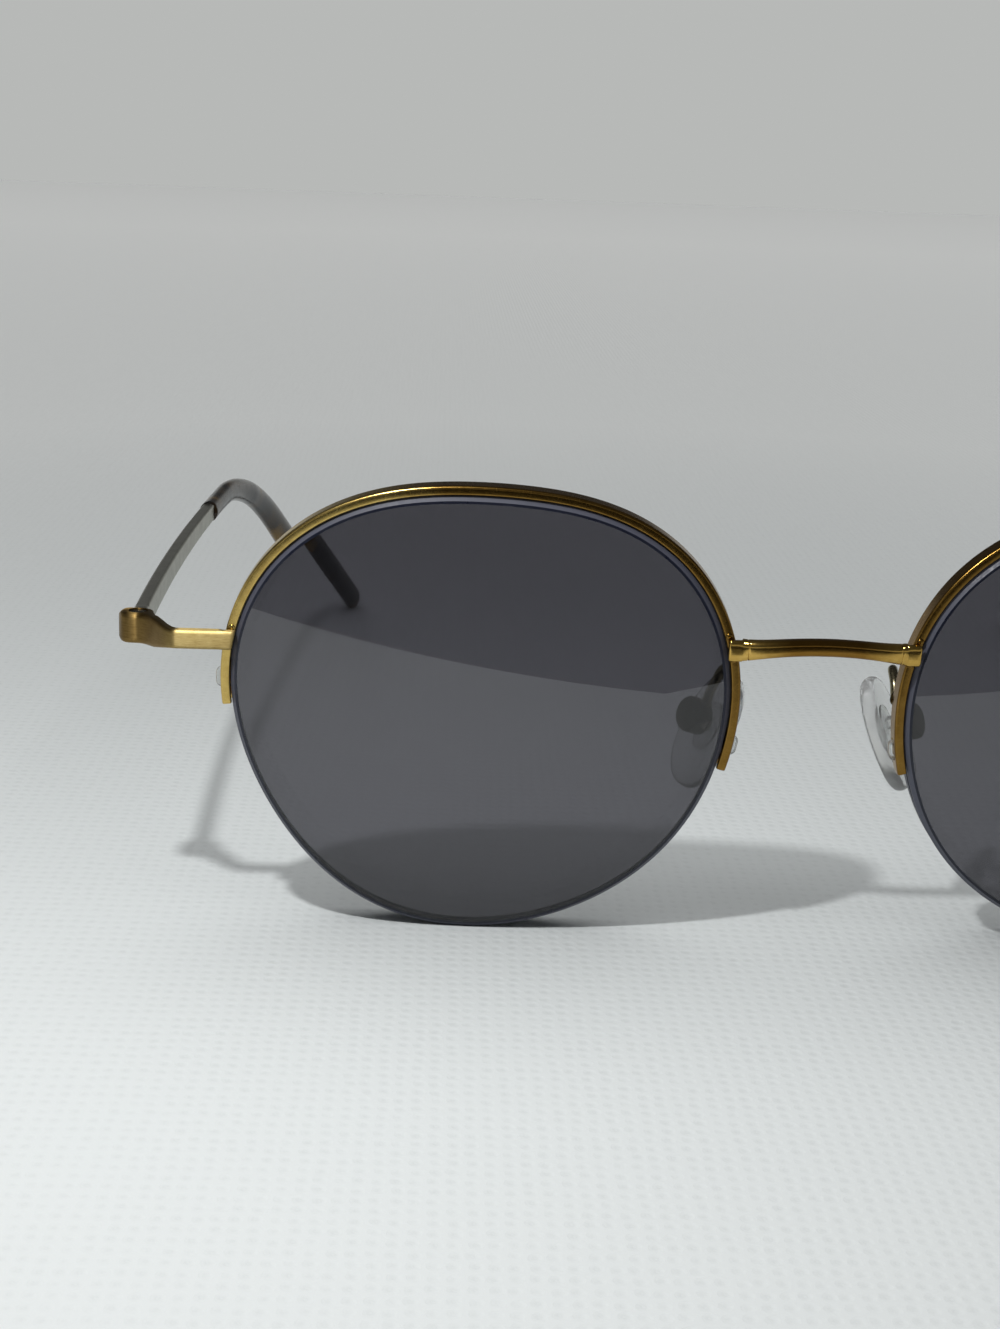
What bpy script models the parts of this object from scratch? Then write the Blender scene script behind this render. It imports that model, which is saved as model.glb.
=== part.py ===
"""Semi-rimless eyeglasses: tinted lenses hung from metal half rims by a nylon cord.

Sizes are millimetres. +X is the wearer's left, +Y points from the lenses to the ears, +Z is up, and the
glasses stand open on their lens edges and temple tips at Z = 0. Every piece is modelled on the wearer's left,
where +X is outward, and mirrored for the right. An angle round a lens starts at the nose and runs over the top.
"""
import math

import bmesh
import bpy
from mathutils import Matrix, Vector
from mathutils.geometry import interpolate_bezier

MM = 0.001

# Lenses, in the boxed sizes that opticians use
LENS_WIDTH = 50.0
LENS_HEIGHT = 46.75
LENS_GAP = 18.0
PATTERN_RADII = (24.9, 25.5, 23.9, 22.4, 24.0, 25.6, 24.9, 23.9, 24.4, 24.25, 23.9, 24.25)  # every 30 degrees
LENS_CENTRE_THICKNESS = 1.8
LENS_FRONT_RADIUS = 170.0
LENS_BACK_RADIUS = 95.0
LENS_FRONT_CHAMFER = 0.4
LENS_BACK_CHAMFER = 0.5
LENS_TILT = 5.7
LENS_WRAP = 2.2
GROOVE_SETBACK = 1.1
GROOVE_WIDTH = 0.66
GROOVE_DEPTH = 0.65

# Half rims, their liners and the nylon cords
RIM_GAP = 0.1
RIM_HEIGHT = 0.95
RIM_DEPTH = 2.0
RIM_CORNER = 0.28
RIM_START_ANGLE = -12.0
RIM_END_ANGLE = 180.5
CHANNEL_WIDTH = 1.1
CHANNEL_DEPTH = 0.45
LINER_CLEARANCE = 0.05
LINER_TONGUE_WIDTH = 0.46
LINER_TONGUE_REACH = 0.45
CORD_DIAMETER = 0.5
CORD_HOLE_CLEARANCE = 0.08
CORD_HOLE_FROM_END = 1.7
CORD_HOLE_SPACING = 1.6
CORD_LOOP_BEND = 0.4
CORD_TAIL = 0.3
LINER_FROM_HOLE = 1.2

# Bridge
BRIDGE_ANGLE = 18.0
BRIDGE_HEIGHT = 1.75
BRIDGE_END_HEIGHT = 2.3
BRIDGE_DEPTH = 1.5
BRIDGE_RISE = 0.4
BRIDGE_FORWARD = 0.6
BRIDGE_CORNER = 0.5
SOLDER_GAP = 0.12
OVERLAY_THICKNESS = 0.9
OVERLAY_STEP = 0.15

# Endpieces and hinges
ENDPIECE_ANGLE = 165.0
BAR_HEIGHT = 1.9
BAR_DEPTH = 1.35
BAR_CORNER = 0.3
HINGE_OUT = 9.6
HINGE_BACK = 4.3
BLOCK_WIDTH = 3.9
BLOCK_DEPTH = 3.2
BLOCK_HEIGHT = 3.15
BLOCK_FLAT_SHARE = 0.35
BLOCK_TAPER = 0.35
SWING_START = 3.6
SWING_LENGTH = 2.7
NECK_LENGTH = 3.0
GROWTH_START = 4.2
GROWTH_LENGTH = 3.0
HINGE_SCREW_DIAMETER = 1.0
HINGE_SCREW_HEAD = 1.9
HINGE_HEAD_THICKNESS = 0.45
HEAD_SUNK = 0.1
SCREW_CLEARANCE = 0.05
DRIVER_SLOT = 0.3
KNUCKLE_DIAMETER = 2.5
KNUCKLE_HEIGHT = 1.1
KNUCKLE_NECK = 1.2
KNUCKLE_CLEARANCE = 0.1
SWING_CLEARANCE = 0.2
SHOULDER_FROM_AXIS = 1.9
SHOULDER_LENGTH = 1.5

# Temples
TEMPLE_LENGTH = 145.0
TEMPLE_TO_BEND = 93.5
TEMPLE_BEND_LENGTH = 34.0
TEMPLE_SLOPE = 0.5
TEMPLE_INWARD = 0.7
TEMPLE_BOW = 1.3
TIP_TURN = 13.5
ARM_THICKNESS = 1.5
ARM_HEIGHT = 2.6
ARM_END_HEIGHT = 2.2
ARM_CORNER = 0.35
CORE_DIAMETER = 1.1
CORE_CLEARANCE = 0.12
CORE_END_MARGIN = 9.0
SLEEVE_START = 63.5
SLEEVE_THICKNESS = 2.4
SLEEVE_HEIGHT = 2.7
PADDLE_THICKNESS = 2.9
PADDLE_HEIGHT = 4.6
PADDLE_FROM_END = 12.0
TIP_CLOSING = 0.25
STEEPEST_DROP = 85.0

# Nose pads on their arms
PAD_LENGTH = 13.0
PAD_WIDTH = 7.2
PAD_THICKNESS = 1.9
PAD_SPLAY = 28.0
PAD_FLARE = 23.0
PAD_OFFSET = 1.2
PAD_RUN_CLEARANCE = 0.9
LUG_WIDTH = 1.2
LUG_RADIUS = 0.65
LUG_STEM_WIDTH = 1.04
BOX_DIAMETER = 3.8
BOX_DEPTH = 2.0
BOX_BACK = 0.35
BOX_OUT = 2.85
BOX_BACKWARD = 6.8
BOX_DROP = 4.1
PAD_SCREW_DIAMETER = 0.8
PAD_SCREW_HEAD = 1.2
PAD_HEAD_THICKNESS = 0.35
WIRE_DIAMETER = 1.0
WIRE_ANGLE = 5.0
WIRE_RISE = 2.2
WIRE_AHEAD = 0.76
FIT_GAP = 0.1
FUSE_INSET = 0.01

# How finely curves are cut
ROUND_STEP = 6.0
RIM_STEPS = 38
LENS_FACE_RINGS = (0.15, 0.42, 0.7)
SHARP_ANGLE = 32.0
DISC_SIDES = 20
HOLE_SIDES = 12
CORD_SIDES = 8
WIRE_SIDES = 10
SLEEVE_SIDES = 16
LUG_SIDES = 16
BOX_SIDES = 24
PAD_SIDES = 24
ROD_STEPS = 7
CORE_STEPS = 13
SLEEVE_STEPS = 15
TEMPLE_STEPS = 290
WIRE_CUTS = 3

# How far a cutter stands out of what it cuts, and the size an axis is drawn at
CUT_MARGIN = 1.0
AXIS_MARK = 5.0

COLOURS = {
    "gold": ((0.42, 0.30, 0.12), 0.32, 1.0),
    "temple_metal": ((0.36, 0.33, 0.25), 0.35, 1.0),
    "screw_steel": ((0.30, 0.27, 0.20), 0.30, 1.0),
    "bronze": ((0.16, 0.13, 0.09), 0.35, 1.0),
    "tint": ((0.16, 0.16, 0.18), 0.03, 0.0),
    "nylon": ((0.80, 0.82, 0.82), 0.20, 0.0),
    "liner": ((0.08, 0.08, 0.09), 0.40, 0.0),
    "silicone": ((0.82, 0.85, 0.84), 0.15, 0.0),
    "tortoise": ((0.05, 0.03, 0.02), 0.15, 0.0),
}


def clear_scene():
    """Start from an empty scene."""
    for old in list(bpy.data.objects):
        bpy.data.objects.remove(old, do_unlink=True)


def material(node, kind):
    """One material per piece, from the colours of its kind."""
    colour, roughness, metallic = COLOURS[kind]
    made = bpy.data.materials.new(node)
    made.use_nodes = True
    shader = made.node_tree.nodes["Principled BSDF"]
    shader.inputs["Base Color"].default_value = (*colour, 1.0)
    shader.inputs["Roughness"].default_value = roughness
    shader.inputs["Metallic"].default_value = metallic
    made.diffuse_color = (*colour, 1.0)
    return made


def pivot(name, place, parent=None):
    """An empty at a joint's axis, or the root of the glasses."""
    empty = bpy.data.objects.new(name, None)
    empty.empty_display_size = AXIS_MARK * MM
    bpy.context.scene.collection.objects.link(empty)
    empty.parent = parent
    empty.location = place * MM
    return empty


def solid(name, kind, points, faces, side, holder):
    """A closed mesh from points in millimetres, mirrored to its side and held by an empty."""
    base = holder.location if holder.parent else Vector()
    mesh = bpy.data.meshes.new(name)
    moved = [Vector((point[0] * side, point[1], point[2])) * MM - base for point in points]
    mesh.from_pydata(moved, [], faces)
    form = bmesh.new()
    form.from_mesh(mesh)
    bmesh.ops.recalc_face_normals(form, faces=form.faces)
    form.to_mesh(mesh)
    form.free()
    mesh.shade_smooth()
    mesh.set_sharp_from_angle(angle=math.radians(SHARP_ANGLE))
    made = bpy.data.objects.new(name, mesh)
    bpy.context.scene.collection.objects.link(made)
    made.parent = holder
    if kind:
        mesh.materials.append(material(name, kind))
    return made


def helper(name, points, faces, side, holder):
    """A cutter, or a shape to be joined, which isn't a piece of the glasses."""
    made = solid(name, None, points, faces, side, holder)
    made.hide_render = True
    made.display_type = "WIRE"
    return made


def combine(piece, other, operation):
    """Cut or join a helper with a Boolean."""
    modifier = piece.modifiers.new(other.name, "BOOLEAN")
    modifier.operation = operation
    modifier.object = other
    modifier.solver = "EXACT"


def loft(rings):
    """Points and faces of a closed skin over rings of equal counts, with flat ends."""
    count = len(rings[0])
    points = [point for ring in rings for point in ring]
    faces = [list(range(count))[::-1]]
    for row in range(len(rings) - 1):
        for col in range(count):
            after = (col + 1) % count
            a, b = row * count, (row + 1) * count
            faces.append([a + col, a + after, b + after, b + col])
    faces.append([(len(rings) - 1) * count + col for col in range(count)])
    return points, faces


def rounded_box(low, high, corner):
    """Section points of a rectangle with two-step round corners, counter-clockwise."""
    corner = min(corner, (high[0] - low[0]) * 0.49, (high[1] - low[1]) * 0.49)
    centres = (
        (high[0] - corner, high[1] - corner, 0),
        (low[0] + corner, high[1] - corner, 90),
        (low[0] + corner, low[1] + corner, 180),
        (high[0] - corner, low[1] + corner, 270),
    )
    section = []
    for x, y, start in centres:
        for step in (0, 45, 90):
            turn = math.radians(start + step)
            section.append((x + corner * math.cos(turn), y + corner * math.sin(turn)))
    return section


def ellipse(width, height, sides):
    """Section points of an ellipse."""
    turns = [2 * math.pi * step / sides for step in range(sides)]
    return [(width / 2 * math.cos(turn), height / 2 * math.sin(turn)) for turn in turns]


def sweep(path, sections, up):
    """Rings of sections carried square to a path, with the second section axis turned towards up."""
    rings = []
    for index, place in enumerate(path):
        before = path[max(index - 1, 0)]
        after = path[min(index + 1, len(path) - 1)]
        along = (after - before).normalized()
        upward = (up - up.dot(along) * along).normalized()
        across = along.cross(upward)
        rings.append([place + across * a + upward * b for a, b in sections[index]])
    return rings


def disc(centre, axis, radius, length, sides=DISC_SIDES):
    """Points and faces of a cylinder that starts at centre and runs along axis."""
    axis = axis.normalized()
    aside = axis.orthogonal().normalized()
    across = axis.cross(aside)
    turns = [2 * math.pi * step / sides for step in range(sides)]
    rim = [aside * radius * math.cos(turn) + across * radius * math.sin(turn) for turn in turns]
    return loft([[centre + spoke for spoke in rim], [centre + axis * length + spoke for spoke in rim]])


def block(centre, axes, sizes):
    """Points and faces of a box with its own three axes."""
    ends = []
    for far in (-0.5, 0.5):
        corners = ((-0.5, -0.5), (0.5, -0.5), (0.5, 0.5), (-0.5, 0.5))
        ends.append([
            centre + axes[0] * sizes[0] * a + axes[1] * sizes[1] * b + axes[2] * sizes[2] * far
            for a, b in corners
        ])
    return loft(ends)


def smooth(value):
    """Smooth step from 0 to 1."""
    value = min(max(value, 0.0), 1.0)
    return value * value * (3 - 2 * value)


def mix(start, end, share):
    """The value at a share of the way between two."""
    return start + (end - start) * share


# Where things lie on a lens
def pattern(turn):
    """Point of the lens pattern at an angle in radians, from a smooth closed curve through its radii."""
    count = len(PATTERN_RADII)
    radius = sum(PATTERN_RADII) / count
    for wave in range(1, count // 2 + 1):
        share = (1 if wave < count // 2 else 0.5) * 2 / count
        for index, value in enumerate(PATTERN_RADII):
            radius += share * value * math.cos(wave * (turn - 2 * math.pi * index / count))
    return radius * math.cos(turn), radius * math.sin(turn)


def boxed_pattern():
    """Limits of the pattern, which LENS_WIDTH and LENS_HEIGHT replace."""
    points = [pattern(math.radians(degree)) for degree in range(360)]
    return [limit(point[axis] for point in points) for axis in (0, 1) for limit in (min, max)]


PATTERN_BOX = boxed_pattern()
STRETCH_X = LENS_WIDTH / (PATTERN_BOX[1] - PATTERN_BOX[0])
STRETCH_Z = LENS_HEIGHT / (PATTERN_BOX[3] - PATTERN_BOX[2])
TILT = math.radians(LENS_TILT)
WRAP = math.radians(LENS_WRAP)
LENS_X = LENS_GAP / 2 + PATTERN_BOX[1] * STRETCH_X * math.cos(WRAP)


def sag(distance, radius):
    """Depth of a spherical surface at a distance from its centre."""
    return radius - math.sqrt(radius * radius - distance * distance)


def outline(angle, out=0.0):
    """Point of the lens edge in the lens's plane, moved out square to the edge."""
    turn = math.radians(angle)
    step = 1e-4
    x0, z0 = pattern(turn)
    x1, z1 = pattern(turn + step)
    x, z = x0 * STRETCH_X, z0 * STRETCH_Z
    run_x, run_z = (x1 - x0) * STRETCH_X, (z1 - z0) * STRETCH_Z
    length = math.hypot(run_x, run_z)
    return x + out * run_z / length, z - out * run_x / length


def lens_place(x, z, depth, height=0.0):
    """From the lens's own plane, nose side positive, to the glasses."""
    turned_x = x * math.cos(WRAP) + depth * math.sin(WRAP)
    turned_y = depth * math.cos(WRAP) - x * math.sin(WRAP)
    return Vector((
        LENS_X - turned_x,
        turned_y * math.cos(TILT) - z * math.sin(TILT),
        turned_y * math.sin(TILT) + z * math.cos(TILT) + height,
    ))


def front_edge(angle):
    """Depth of the lens's front surface at its edge."""
    return sag(math.hypot(*outline(angle)), LENS_FRONT_RADIUS)


def resting_height():
    """Height of the lens centres above the table, with the front shoulders of both lenses on it."""
    land = [lens_place(*outline(a), front_edge(a) + LENS_FRONT_CHAMFER).z for a in range(180, 360)]
    return -min(land)


LENS_Z = resting_height()


def on_edge(angle, out, depth):
    """Point beside the lens edge: out from it, and behind the middle of its groove."""
    x, z = outline(angle, out)
    return lens_place(x, z, front_edge(angle) + GROOVE_SETBACK + depth, LENS_Z)


def turn_for(angle, length):
    """Angle in degrees that a length along the lens edge spans."""
    return math.degrees(length / math.hypot(*outline(angle)))


RIM_OUTER = RIM_GAP + RIM_HEIGHT
NASAL_HOLES = [
    RIM_START_ANGLE + turn_for(RIM_START_ANGLE, length)
    for length in (CORD_HOLE_FROM_END, CORD_HOLE_FROM_END + CORD_HOLE_SPACING)
]
TEMPORAL_HOLES = [
    RIM_END_ANGLE - turn_for(RIM_END_ANGLE, length)
    for length in (CORD_HOLE_FROM_END, CORD_HOLE_FROM_END + CORD_HOLE_SPACING)
]


def lens(side, root):
    """A tinted lens: spherical faces, ground edge with chamfers and a groove all round."""
    ring_rows = []
    angles = [ROUND_STEP * step for step in range(round(360 / ROUND_STEP))]
    for share in LENS_FACE_RINGS:
        ring_rows.append([lens_face_point(angle, share, LENS_FRONT_RADIUS, 0.0) for angle in angles])
    half = GROOVE_WIDTH / 2
    ring_rows.append([chamfer_point(angle, LENS_FRONT_CHAMFER, LENS_FRONT_RADIUS, 0.0) for angle in angles])
    ring_rows.append([on_edge(angle, 0, LENS_FRONT_CHAMFER - GROOVE_SETBACK) for angle in angles])
    ring_rows.append([on_edge(angle, 0, -half) for angle in angles])
    ring_rows.append([on_edge(angle, -GROOVE_DEPTH, -half) for angle in angles])
    ring_rows.append([on_edge(angle, -GROOVE_DEPTH, half) for angle in angles])
    ring_rows.append([on_edge(angle, 0, half) for angle in angles])
    ring_rows.append([back_land_point(angle) for angle in angles])
    ring_rows.append([
        chamfer_point(angle, LENS_BACK_CHAMFER, LENS_BACK_RADIUS, LENS_CENTRE_THICKNESS) for angle in angles
    ])
    for share in reversed(LENS_FACE_RINGS):
        ring_rows.append([
            lens_face_point(angle, share, LENS_BACK_RADIUS, LENS_CENTRE_THICKNESS) for angle in angles
        ])
    points, faces = loft(ring_rows)
    return solid(side_name("lens", side), "tint", points, faces, side, root)


def lens_face_point(angle, share, radius, start):
    """Point of a lens face at a share of the way from its centre to the edge."""
    x, z = outline(angle)
    return lens_place(x * share, z * share, start + sag(math.hypot(x, z) * share, radius), LENS_Z)


def chamfer_point(angle, inward, radius, start):
    """Point where a lens face meets its chamfer."""
    x, z = outline(angle, -inward)
    return lens_place(x, z, start + sag(math.hypot(x, z), radius), LENS_Z)


def back_land_point(angle):
    """Point where the lens edge meets its back chamfer."""
    x, z = outline(angle)
    depth = LENS_CENTRE_THICKNESS + sag(math.hypot(x, z), LENS_BACK_RADIUS) - LENS_BACK_CHAMFER
    return lens_place(x, z, depth, LENS_Z)


def edge_sweep(first, last, section):
    """Rings of one section carried along the lens edge."""
    angles = [mix(first, last, step / RIM_STEPS) for step in range(RIM_STEPS + 1)]
    return [[on_edge(angle, out, depth) for out, depth in section] for angle in angles]


def rim(side, root):
    """A half rim: a wire with a channel towards the lens, and two cord holes at each end."""
    outer = rounded_box((RIM_GAP, -RIM_DEPTH / 2), (RIM_OUTER, RIM_DEPTH / 2), RIM_CORNER)
    far_side = sorted(point for point in outer if point[0] > RIM_GAP + RIM_HEIGHT / 2)
    back = [point for point in far_side if point[1] > 0]
    front = [point for point in far_side[::-1] if point[1] < 0]
    half = CHANNEL_WIDTH / 2
    floor = RIM_GAP + CHANNEL_DEPTH
    channel = [(RIM_GAP, -RIM_DEPTH / 2), (RIM_GAP, -half), (floor, -half), (floor, half), (RIM_GAP, half)]
    section = channel + [(RIM_GAP, RIM_DEPTH / 2)] + back + front
    points, faces = loft(edge_sweep(RIM_START_ANGLE, RIM_END_ANGLE, section))
    made = solid(side_name("rim", side), "gold", points, faces, side, root)
    radius = CORD_DIAMETER / 2 + CORD_HOLE_CLEARANCE
    for angle in NASAL_HOLES + TEMPORAL_HOLES:
        inner = on_edge(angle, RIM_GAP, 0)
        outward = on_edge(angle, RIM_OUTER + CUT_MARGIN, 0) - inner
        name = side_name(f"cord_hole_{round(angle)}", side)
        hole = helper(name, *disc(inner, outward, radius, outward.length, HOLE_SIDES), side, root)
        combine(made, hole, "DIFFERENCE")
    return made


def rim_liner(side, root):
    """The nylon strip that fills the rim's channel and stands in the lens groove."""
    half = CHANNEL_WIDTH / 2 - LINER_CLEARANCE
    tongue = LINER_TONGUE_WIDTH / 2
    top = RIM_GAP + CHANNEL_DEPTH - LINER_CLEARANCE
    section = [
        (-LINER_TONGUE_REACH, -tongue), (-LINER_TONGUE_REACH, tongue), (LINER_CLEARANCE, tongue),
        (LINER_CLEARANCE, half), (top, half), (top, -half), (LINER_CLEARANCE, -half),
        (LINER_CLEARANCE, -tongue),
    ]
    first = NASAL_HOLES[1] + turn_for(NASAL_HOLES[1], LINER_FROM_HOLE)
    last = TEMPORAL_HOLES[1] - turn_for(TEMPORAL_HOLES[1], LINER_FROM_HOLE)
    points, faces = loft(edge_sweep(first, last, section))
    return solid(side_name("rim_liner", side), "liner", points, faces, side, root)


def cord_route():
    """The cord's centre line as angles and distances out: a loop at each rim end, the groove between."""
    radius = CORD_DIAMETER / 2
    sunk = radius - GROOVE_DEPTH + LINER_CLEARANCE
    outside = RIM_OUTER + LINER_CLEARANCE + radius
    bend = CORD_LOOP_BEND
    tail = RIM_GAP + CHANNEL_DEPTH - CORD_TAIL

    def threaded(first, second, sense):
        """From the groove out of the first hole, over the rim and back in at the second."""
        steps = []
        for arc in (60, 30, 0):
            turn = math.radians(arc)
            along = -bend * (1 - math.cos(turn))
            steps.append((first + sense * turn_for(first, along), sunk + bend * (1 - math.sin(turn))))
        for arc in (0, 30, 60, 90):
            turn = math.radians(arc)
            along, rise = bend * (1 - math.cos(turn)), bend * math.sin(turn)
            steps.append((first + sense * turn_for(first, along), outside - bend + rise))
        for arc in (90, 60, 30, 0):
            turn = math.radians(arc)
            along, rise = bend * (1 - math.cos(turn)), bend * math.sin(turn)
            steps.append((second - sense * turn_for(second, along), outside - bend + rise))
        return steps + [(second, tail)]

    nasal = threaded(NASAL_HOLES[0], NASAL_HOLES[1], 1)
    temporal = threaded(TEMPORAL_HOLES[0], TEMPORAL_HOLES[1], -1)
    first = TEMPORAL_HOLES[0] + turn_for(TEMPORAL_HOLES[0], bend)
    last = 360 + NASAL_HOLES[0] - turn_for(NASAL_HOLES[0], bend)
    steps = round((last - first) / ROUND_STEP)
    groove = [(mix(first, last, step / steps), sunk) for step in range(steps + 1)]
    return temporal[::-1] + groove + [(360 + angle, out) for angle, out in nasal]


def lens_cord(side, root):
    """The clear nylon cord that holds the lens, whole, along its real route."""
    path = [on_edge(angle, out, 0) for angle, out in cord_route()]
    sections = [ellipse(CORD_DIAMETER, CORD_DIAMETER, CORD_SIDES)] * len(path)
    depthwise = lens_place(0, 0, 1) - lens_place(0, 0, 0)
    points, faces = loft(sweep(path, sections, depthwise))
    return solid(side_name("lens_cord", side), "nylon", points, faces, side, root)


# Bridge
def front_place(x, depth, z):
    """From the tilted plane of the whole front to the glasses."""
    return Vector((
        x,
        depth * math.cos(TILT) - z * math.sin(TILT),
        depth * math.sin(TILT) + z * math.cos(TILT) + LENS_Z,
    ))


def front_plane(point):
    """Depth and height of a point in the tilted plane of the front."""
    depth = point.y * math.cos(TILT) + (point.z - LENS_Z) * math.sin(TILT)
    height = (point.z - LENS_Z) * math.cos(TILT) - point.y * math.sin(TILT)
    return depth, height


def bridge(root):
    """An arched bar that ends in a block over the front of each rim."""
    seat_depth, seat_z = front_plane(on_edge(BRIDGE_ANGLE, RIM_OUTER / 2, -RIM_DEPTH / 2))
    top = BRIDGE_END_HEIGHT / 2
    beside = min(edge_x(BRIDGE_ANGLE, rise, RIM_OUTER) for rise in (-top, 0, top)) - 2 * SOLDER_GAP
    end = edge_x(BRIDGE_ANGLE, 0, RIM_GAP)
    face = seat_depth - SOLDER_GAP
    stations = [-1, -0.85, -0.7, -0.5, -0.25, 0, 0.25, 0.5, 0.7, 0.85, 1]
    rings = []
    places = [share * beside for share in stations]
    step = beside + OVERLAY_STEP
    for place in [-end, -step] + places + [step, end]:
        over_rim = abs(place) > beside
        share = min(abs(place) / beside, 1)
        arch = 1 - share * share
        near = face - OVERLAY_THICKNESS - BRIDGE_FORWARD * arch
        far = face if over_rim else near + BRIDGE_DEPTH
        half = mix(BRIDGE_HEIGHT, BRIDGE_END_HEIGHT, share ** 4) / 2
        middle = seat_z + BRIDGE_RISE * arch
        section = rounded_box((near, -half), (far, half), BRIDGE_CORNER)
        ring = []
        for depth, rise in section:
            x = math.copysign(edge_x(BRIDGE_ANGLE, rise, RIM_GAP), place) if abs(place) == end else place
            ring.append(front_place(x, depth, middle + rise))
        rings.append(ring)
    points, faces = loft(rings)
    return solid("bridge", "gold", points, faces, 1, root)


def edge_x(angle, rise, out):
    """X beside the lens edge, at a height above the place of an angle."""
    turn = math.degrees(rise / math.hypot(*outline(angle)))
    return on_edge(angle + math.copysign(turn, rise * (90 - angle)), out, 0).x


# Endpieces, hinges and temples
ENDPIECE_SEAT = on_edge(ENDPIECE_ANGLE, RIM_OUTER / 2, -RIM_DEPTH / 2)
HINGE = ENDPIECE_SEAT + Vector((HINGE_OUT, HINGE_BACK, 0))
BAR_FRONT = ENDPIECE_SEAT.y - SOLDER_GAP - OVERLAY_THICKNESS


def endpiece_front(x):
    """Y of the endpiece's front at a distance x outward of the hinge axis."""
    reach = smooth((x + SWING_START) / SWING_LENGTH)
    y = mix(BAR_FRONT, HINGE.y - BLOCK_DEPTH / 2, reach)
    return y + BLOCK_DEPTH / 2 * block_rounding(x)


def endpiece_back(x):
    """Y of the endpiece's back at a distance x outward of the hinge axis."""
    ear = BLOCK_DEPTH / 2
    if x > -ear:
        round_back = HINGE.y + math.sqrt(max(ear * ear - min(x, 0) ** 2, 0))
        return round_back - BLOCK_DEPTH / 2 * block_rounding(x)
    neck = smooth((x + ear + NECK_LENGTH) / NECK_LENGTH)
    clear_of_knuckle = KNUCKLE_NECK / 2 + SWING_CLEARANCE + KNUCKLE_CLEARANCE
    return mix(BAR_FRONT + BAR_DEPTH, HINGE.y - clear_of_knuckle, neck)


def block_rounding(x):
    """How much the block's outer end is drawn in."""
    half = BLOCK_WIDTH / 2
    flat = half * BLOCK_FLAT_SHARE
    share = min(max((x - flat) / (half - flat), 0), 0.96)
    return 1 - math.sqrt(1 - share ** 3)


def endpiece(side, root):
    """A bar over the rim's front that swings back to the hinge block, with a slot for the knuckle."""
    top = BAR_HEIGHT / 2
    beside = max(edge_x(ENDPIECE_ANGLE, rise, RIM_OUTER) for rise in (-top, 0, top)) + 2 * SOLDER_GAP
    ear = BLOCK_DEPTH / 2
    start = beside - HINGE.x
    neck_start = -ear - NECK_LENGTH
    bar = [mix(start, neck_start, share) for share in (0.08, 0.5, 1)]
    neck = [mix(neck_start, -ear, share) for share in (0.2, 0.4, 0.55, 0.7, 0.85, 1)]
    rounds = [-ear * math.cos(math.radians(turn)) for turn in (5, 20, 35, 50, 70, 90)]
    end = [BLOCK_WIDTH / 2 * share for share in (BLOCK_FLAT_SHARE, 0.6, 0.78, 0.9, 1)]
    rings = []
    for x in [start - RIM_HEIGHT, start] + bar + neck + rounds + end:
        near, far = endpiece_front(x), endpiece_back(x)
        if len(rings) < 2:
            far = ENDPIECE_SEAT.y - SOLDER_GAP
        grown = smooth((x + GROWTH_START) / GROWTH_LENGTH)
        half = mix(BAR_HEIGHT, BLOCK_HEIGHT, grown) / 2 * (1 - BLOCK_TAPER * block_rounding(x))
        section = rounded_box((near, -half), (far, half), BAR_CORNER)
        ring = [Vector((HINGE.x + x, y, HINGE.z + z)) for y, z in section]
        if not rings:
            for point in ring:
                point.x = edge_x(ENDPIECE_ANGLE, point.z - HINGE.z, RIM_GAP)
        rings.append(ring)
    points, faces = loft(rings)
    made = solid(side_name("endpiece", side), "gold", points, faces, side, root)
    for name, shape in hinge_cuts():
        combine(made, helper(side_name(name, side), *shape, side, root), "DIFFERENCE")
    return made


def hinge_cuts():
    """The knuckle's slot, the screw's hole and the sunk seat of its head."""
    up = Vector((0, 0, 1))
    axes = (Vector((1, 0, 0)), Vector((0, 1, 0)), up)
    slot = KNUCKLE_HEIGHT + 2 * KNUCKLE_CLEARANCE
    low = HINGE - up * slot / 2
    swing = KNUCKLE_NECK / 2 + SWING_CLEARANCE
    reach = BLOCK_WIDTH
    centre = HINGE + Vector((swing - reach / 2, reach / 2 - swing, 0))
    head = HINGE_HEAD_THICKNESS + HEAD_SUNK
    half = BLOCK_HEIGHT / 2
    return (
        ("slot_round", disc(low, up, KNUCKLE_DIAMETER / 2 + KNUCKLE_CLEARANCE, slot)),
        ("slot_swing", block(centre, axes, (reach, reach, slot))),
        ("screw_hole", disc(HINGE - up * (half + CUT_MARGIN), up, HINGE_SCREW_DIAMETER / 2 + SCREW_CLEARANCE,
                            BLOCK_HEIGHT + 2 * CUT_MARGIN)),
        ("head_seat", disc(HINGE + up * (half - head), up, HINGE_SCREW_HEAD / 2 + SCREW_CLEARANCE,
                           head + CUT_MARGIN)),
    )


def hinge_screw(side, root):
    """The hinge's screw, its slotted head sunk in the top of the block."""
    up = Vector((0, 0, 1))
    half = BLOCK_HEIGHT / 2
    seat = HINGE + up * (half - HEAD_SUNK - HINGE_HEAD_THICKNESS + SCREW_CLEARANCE)
    foot = HINGE - up * (half - HEAD_SUNK)
    rings = []
    for place, radius in ((foot, HINGE_SCREW_DIAMETER / 2), (seat, HINGE_SCREW_DIAMETER / 2),
                          (seat, HINGE_SCREW_HEAD / 2),
                          (seat + up * (HINGE_HEAD_THICKNESS - SCREW_CLEARANCE), HINGE_SCREW_HEAD / 2)):
        rings.append([place + Vector((x, y, 0)) for x, y in ellipse(2 * radius, 2 * radius, DISC_SIDES)])
    points, faces = loft(rings)
    made = solid(side_name("hinge_screw", side), "screw_steel", points, faces, side, root)
    axes = (Vector((1, 0, 0)), Vector((0, 1, 0)), up)
    top = HINGE + up * (half - HEAD_SUNK)
    groove = block(top, axes, (HINGE_SCREW_HEAD + CUT_MARGIN, DRIVER_SLOT, DRIVER_SLOT))
    combine(made, helper(side_name("driver_slot", side), *groove, side, root), "DIFFERENCE")
    return made


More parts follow.
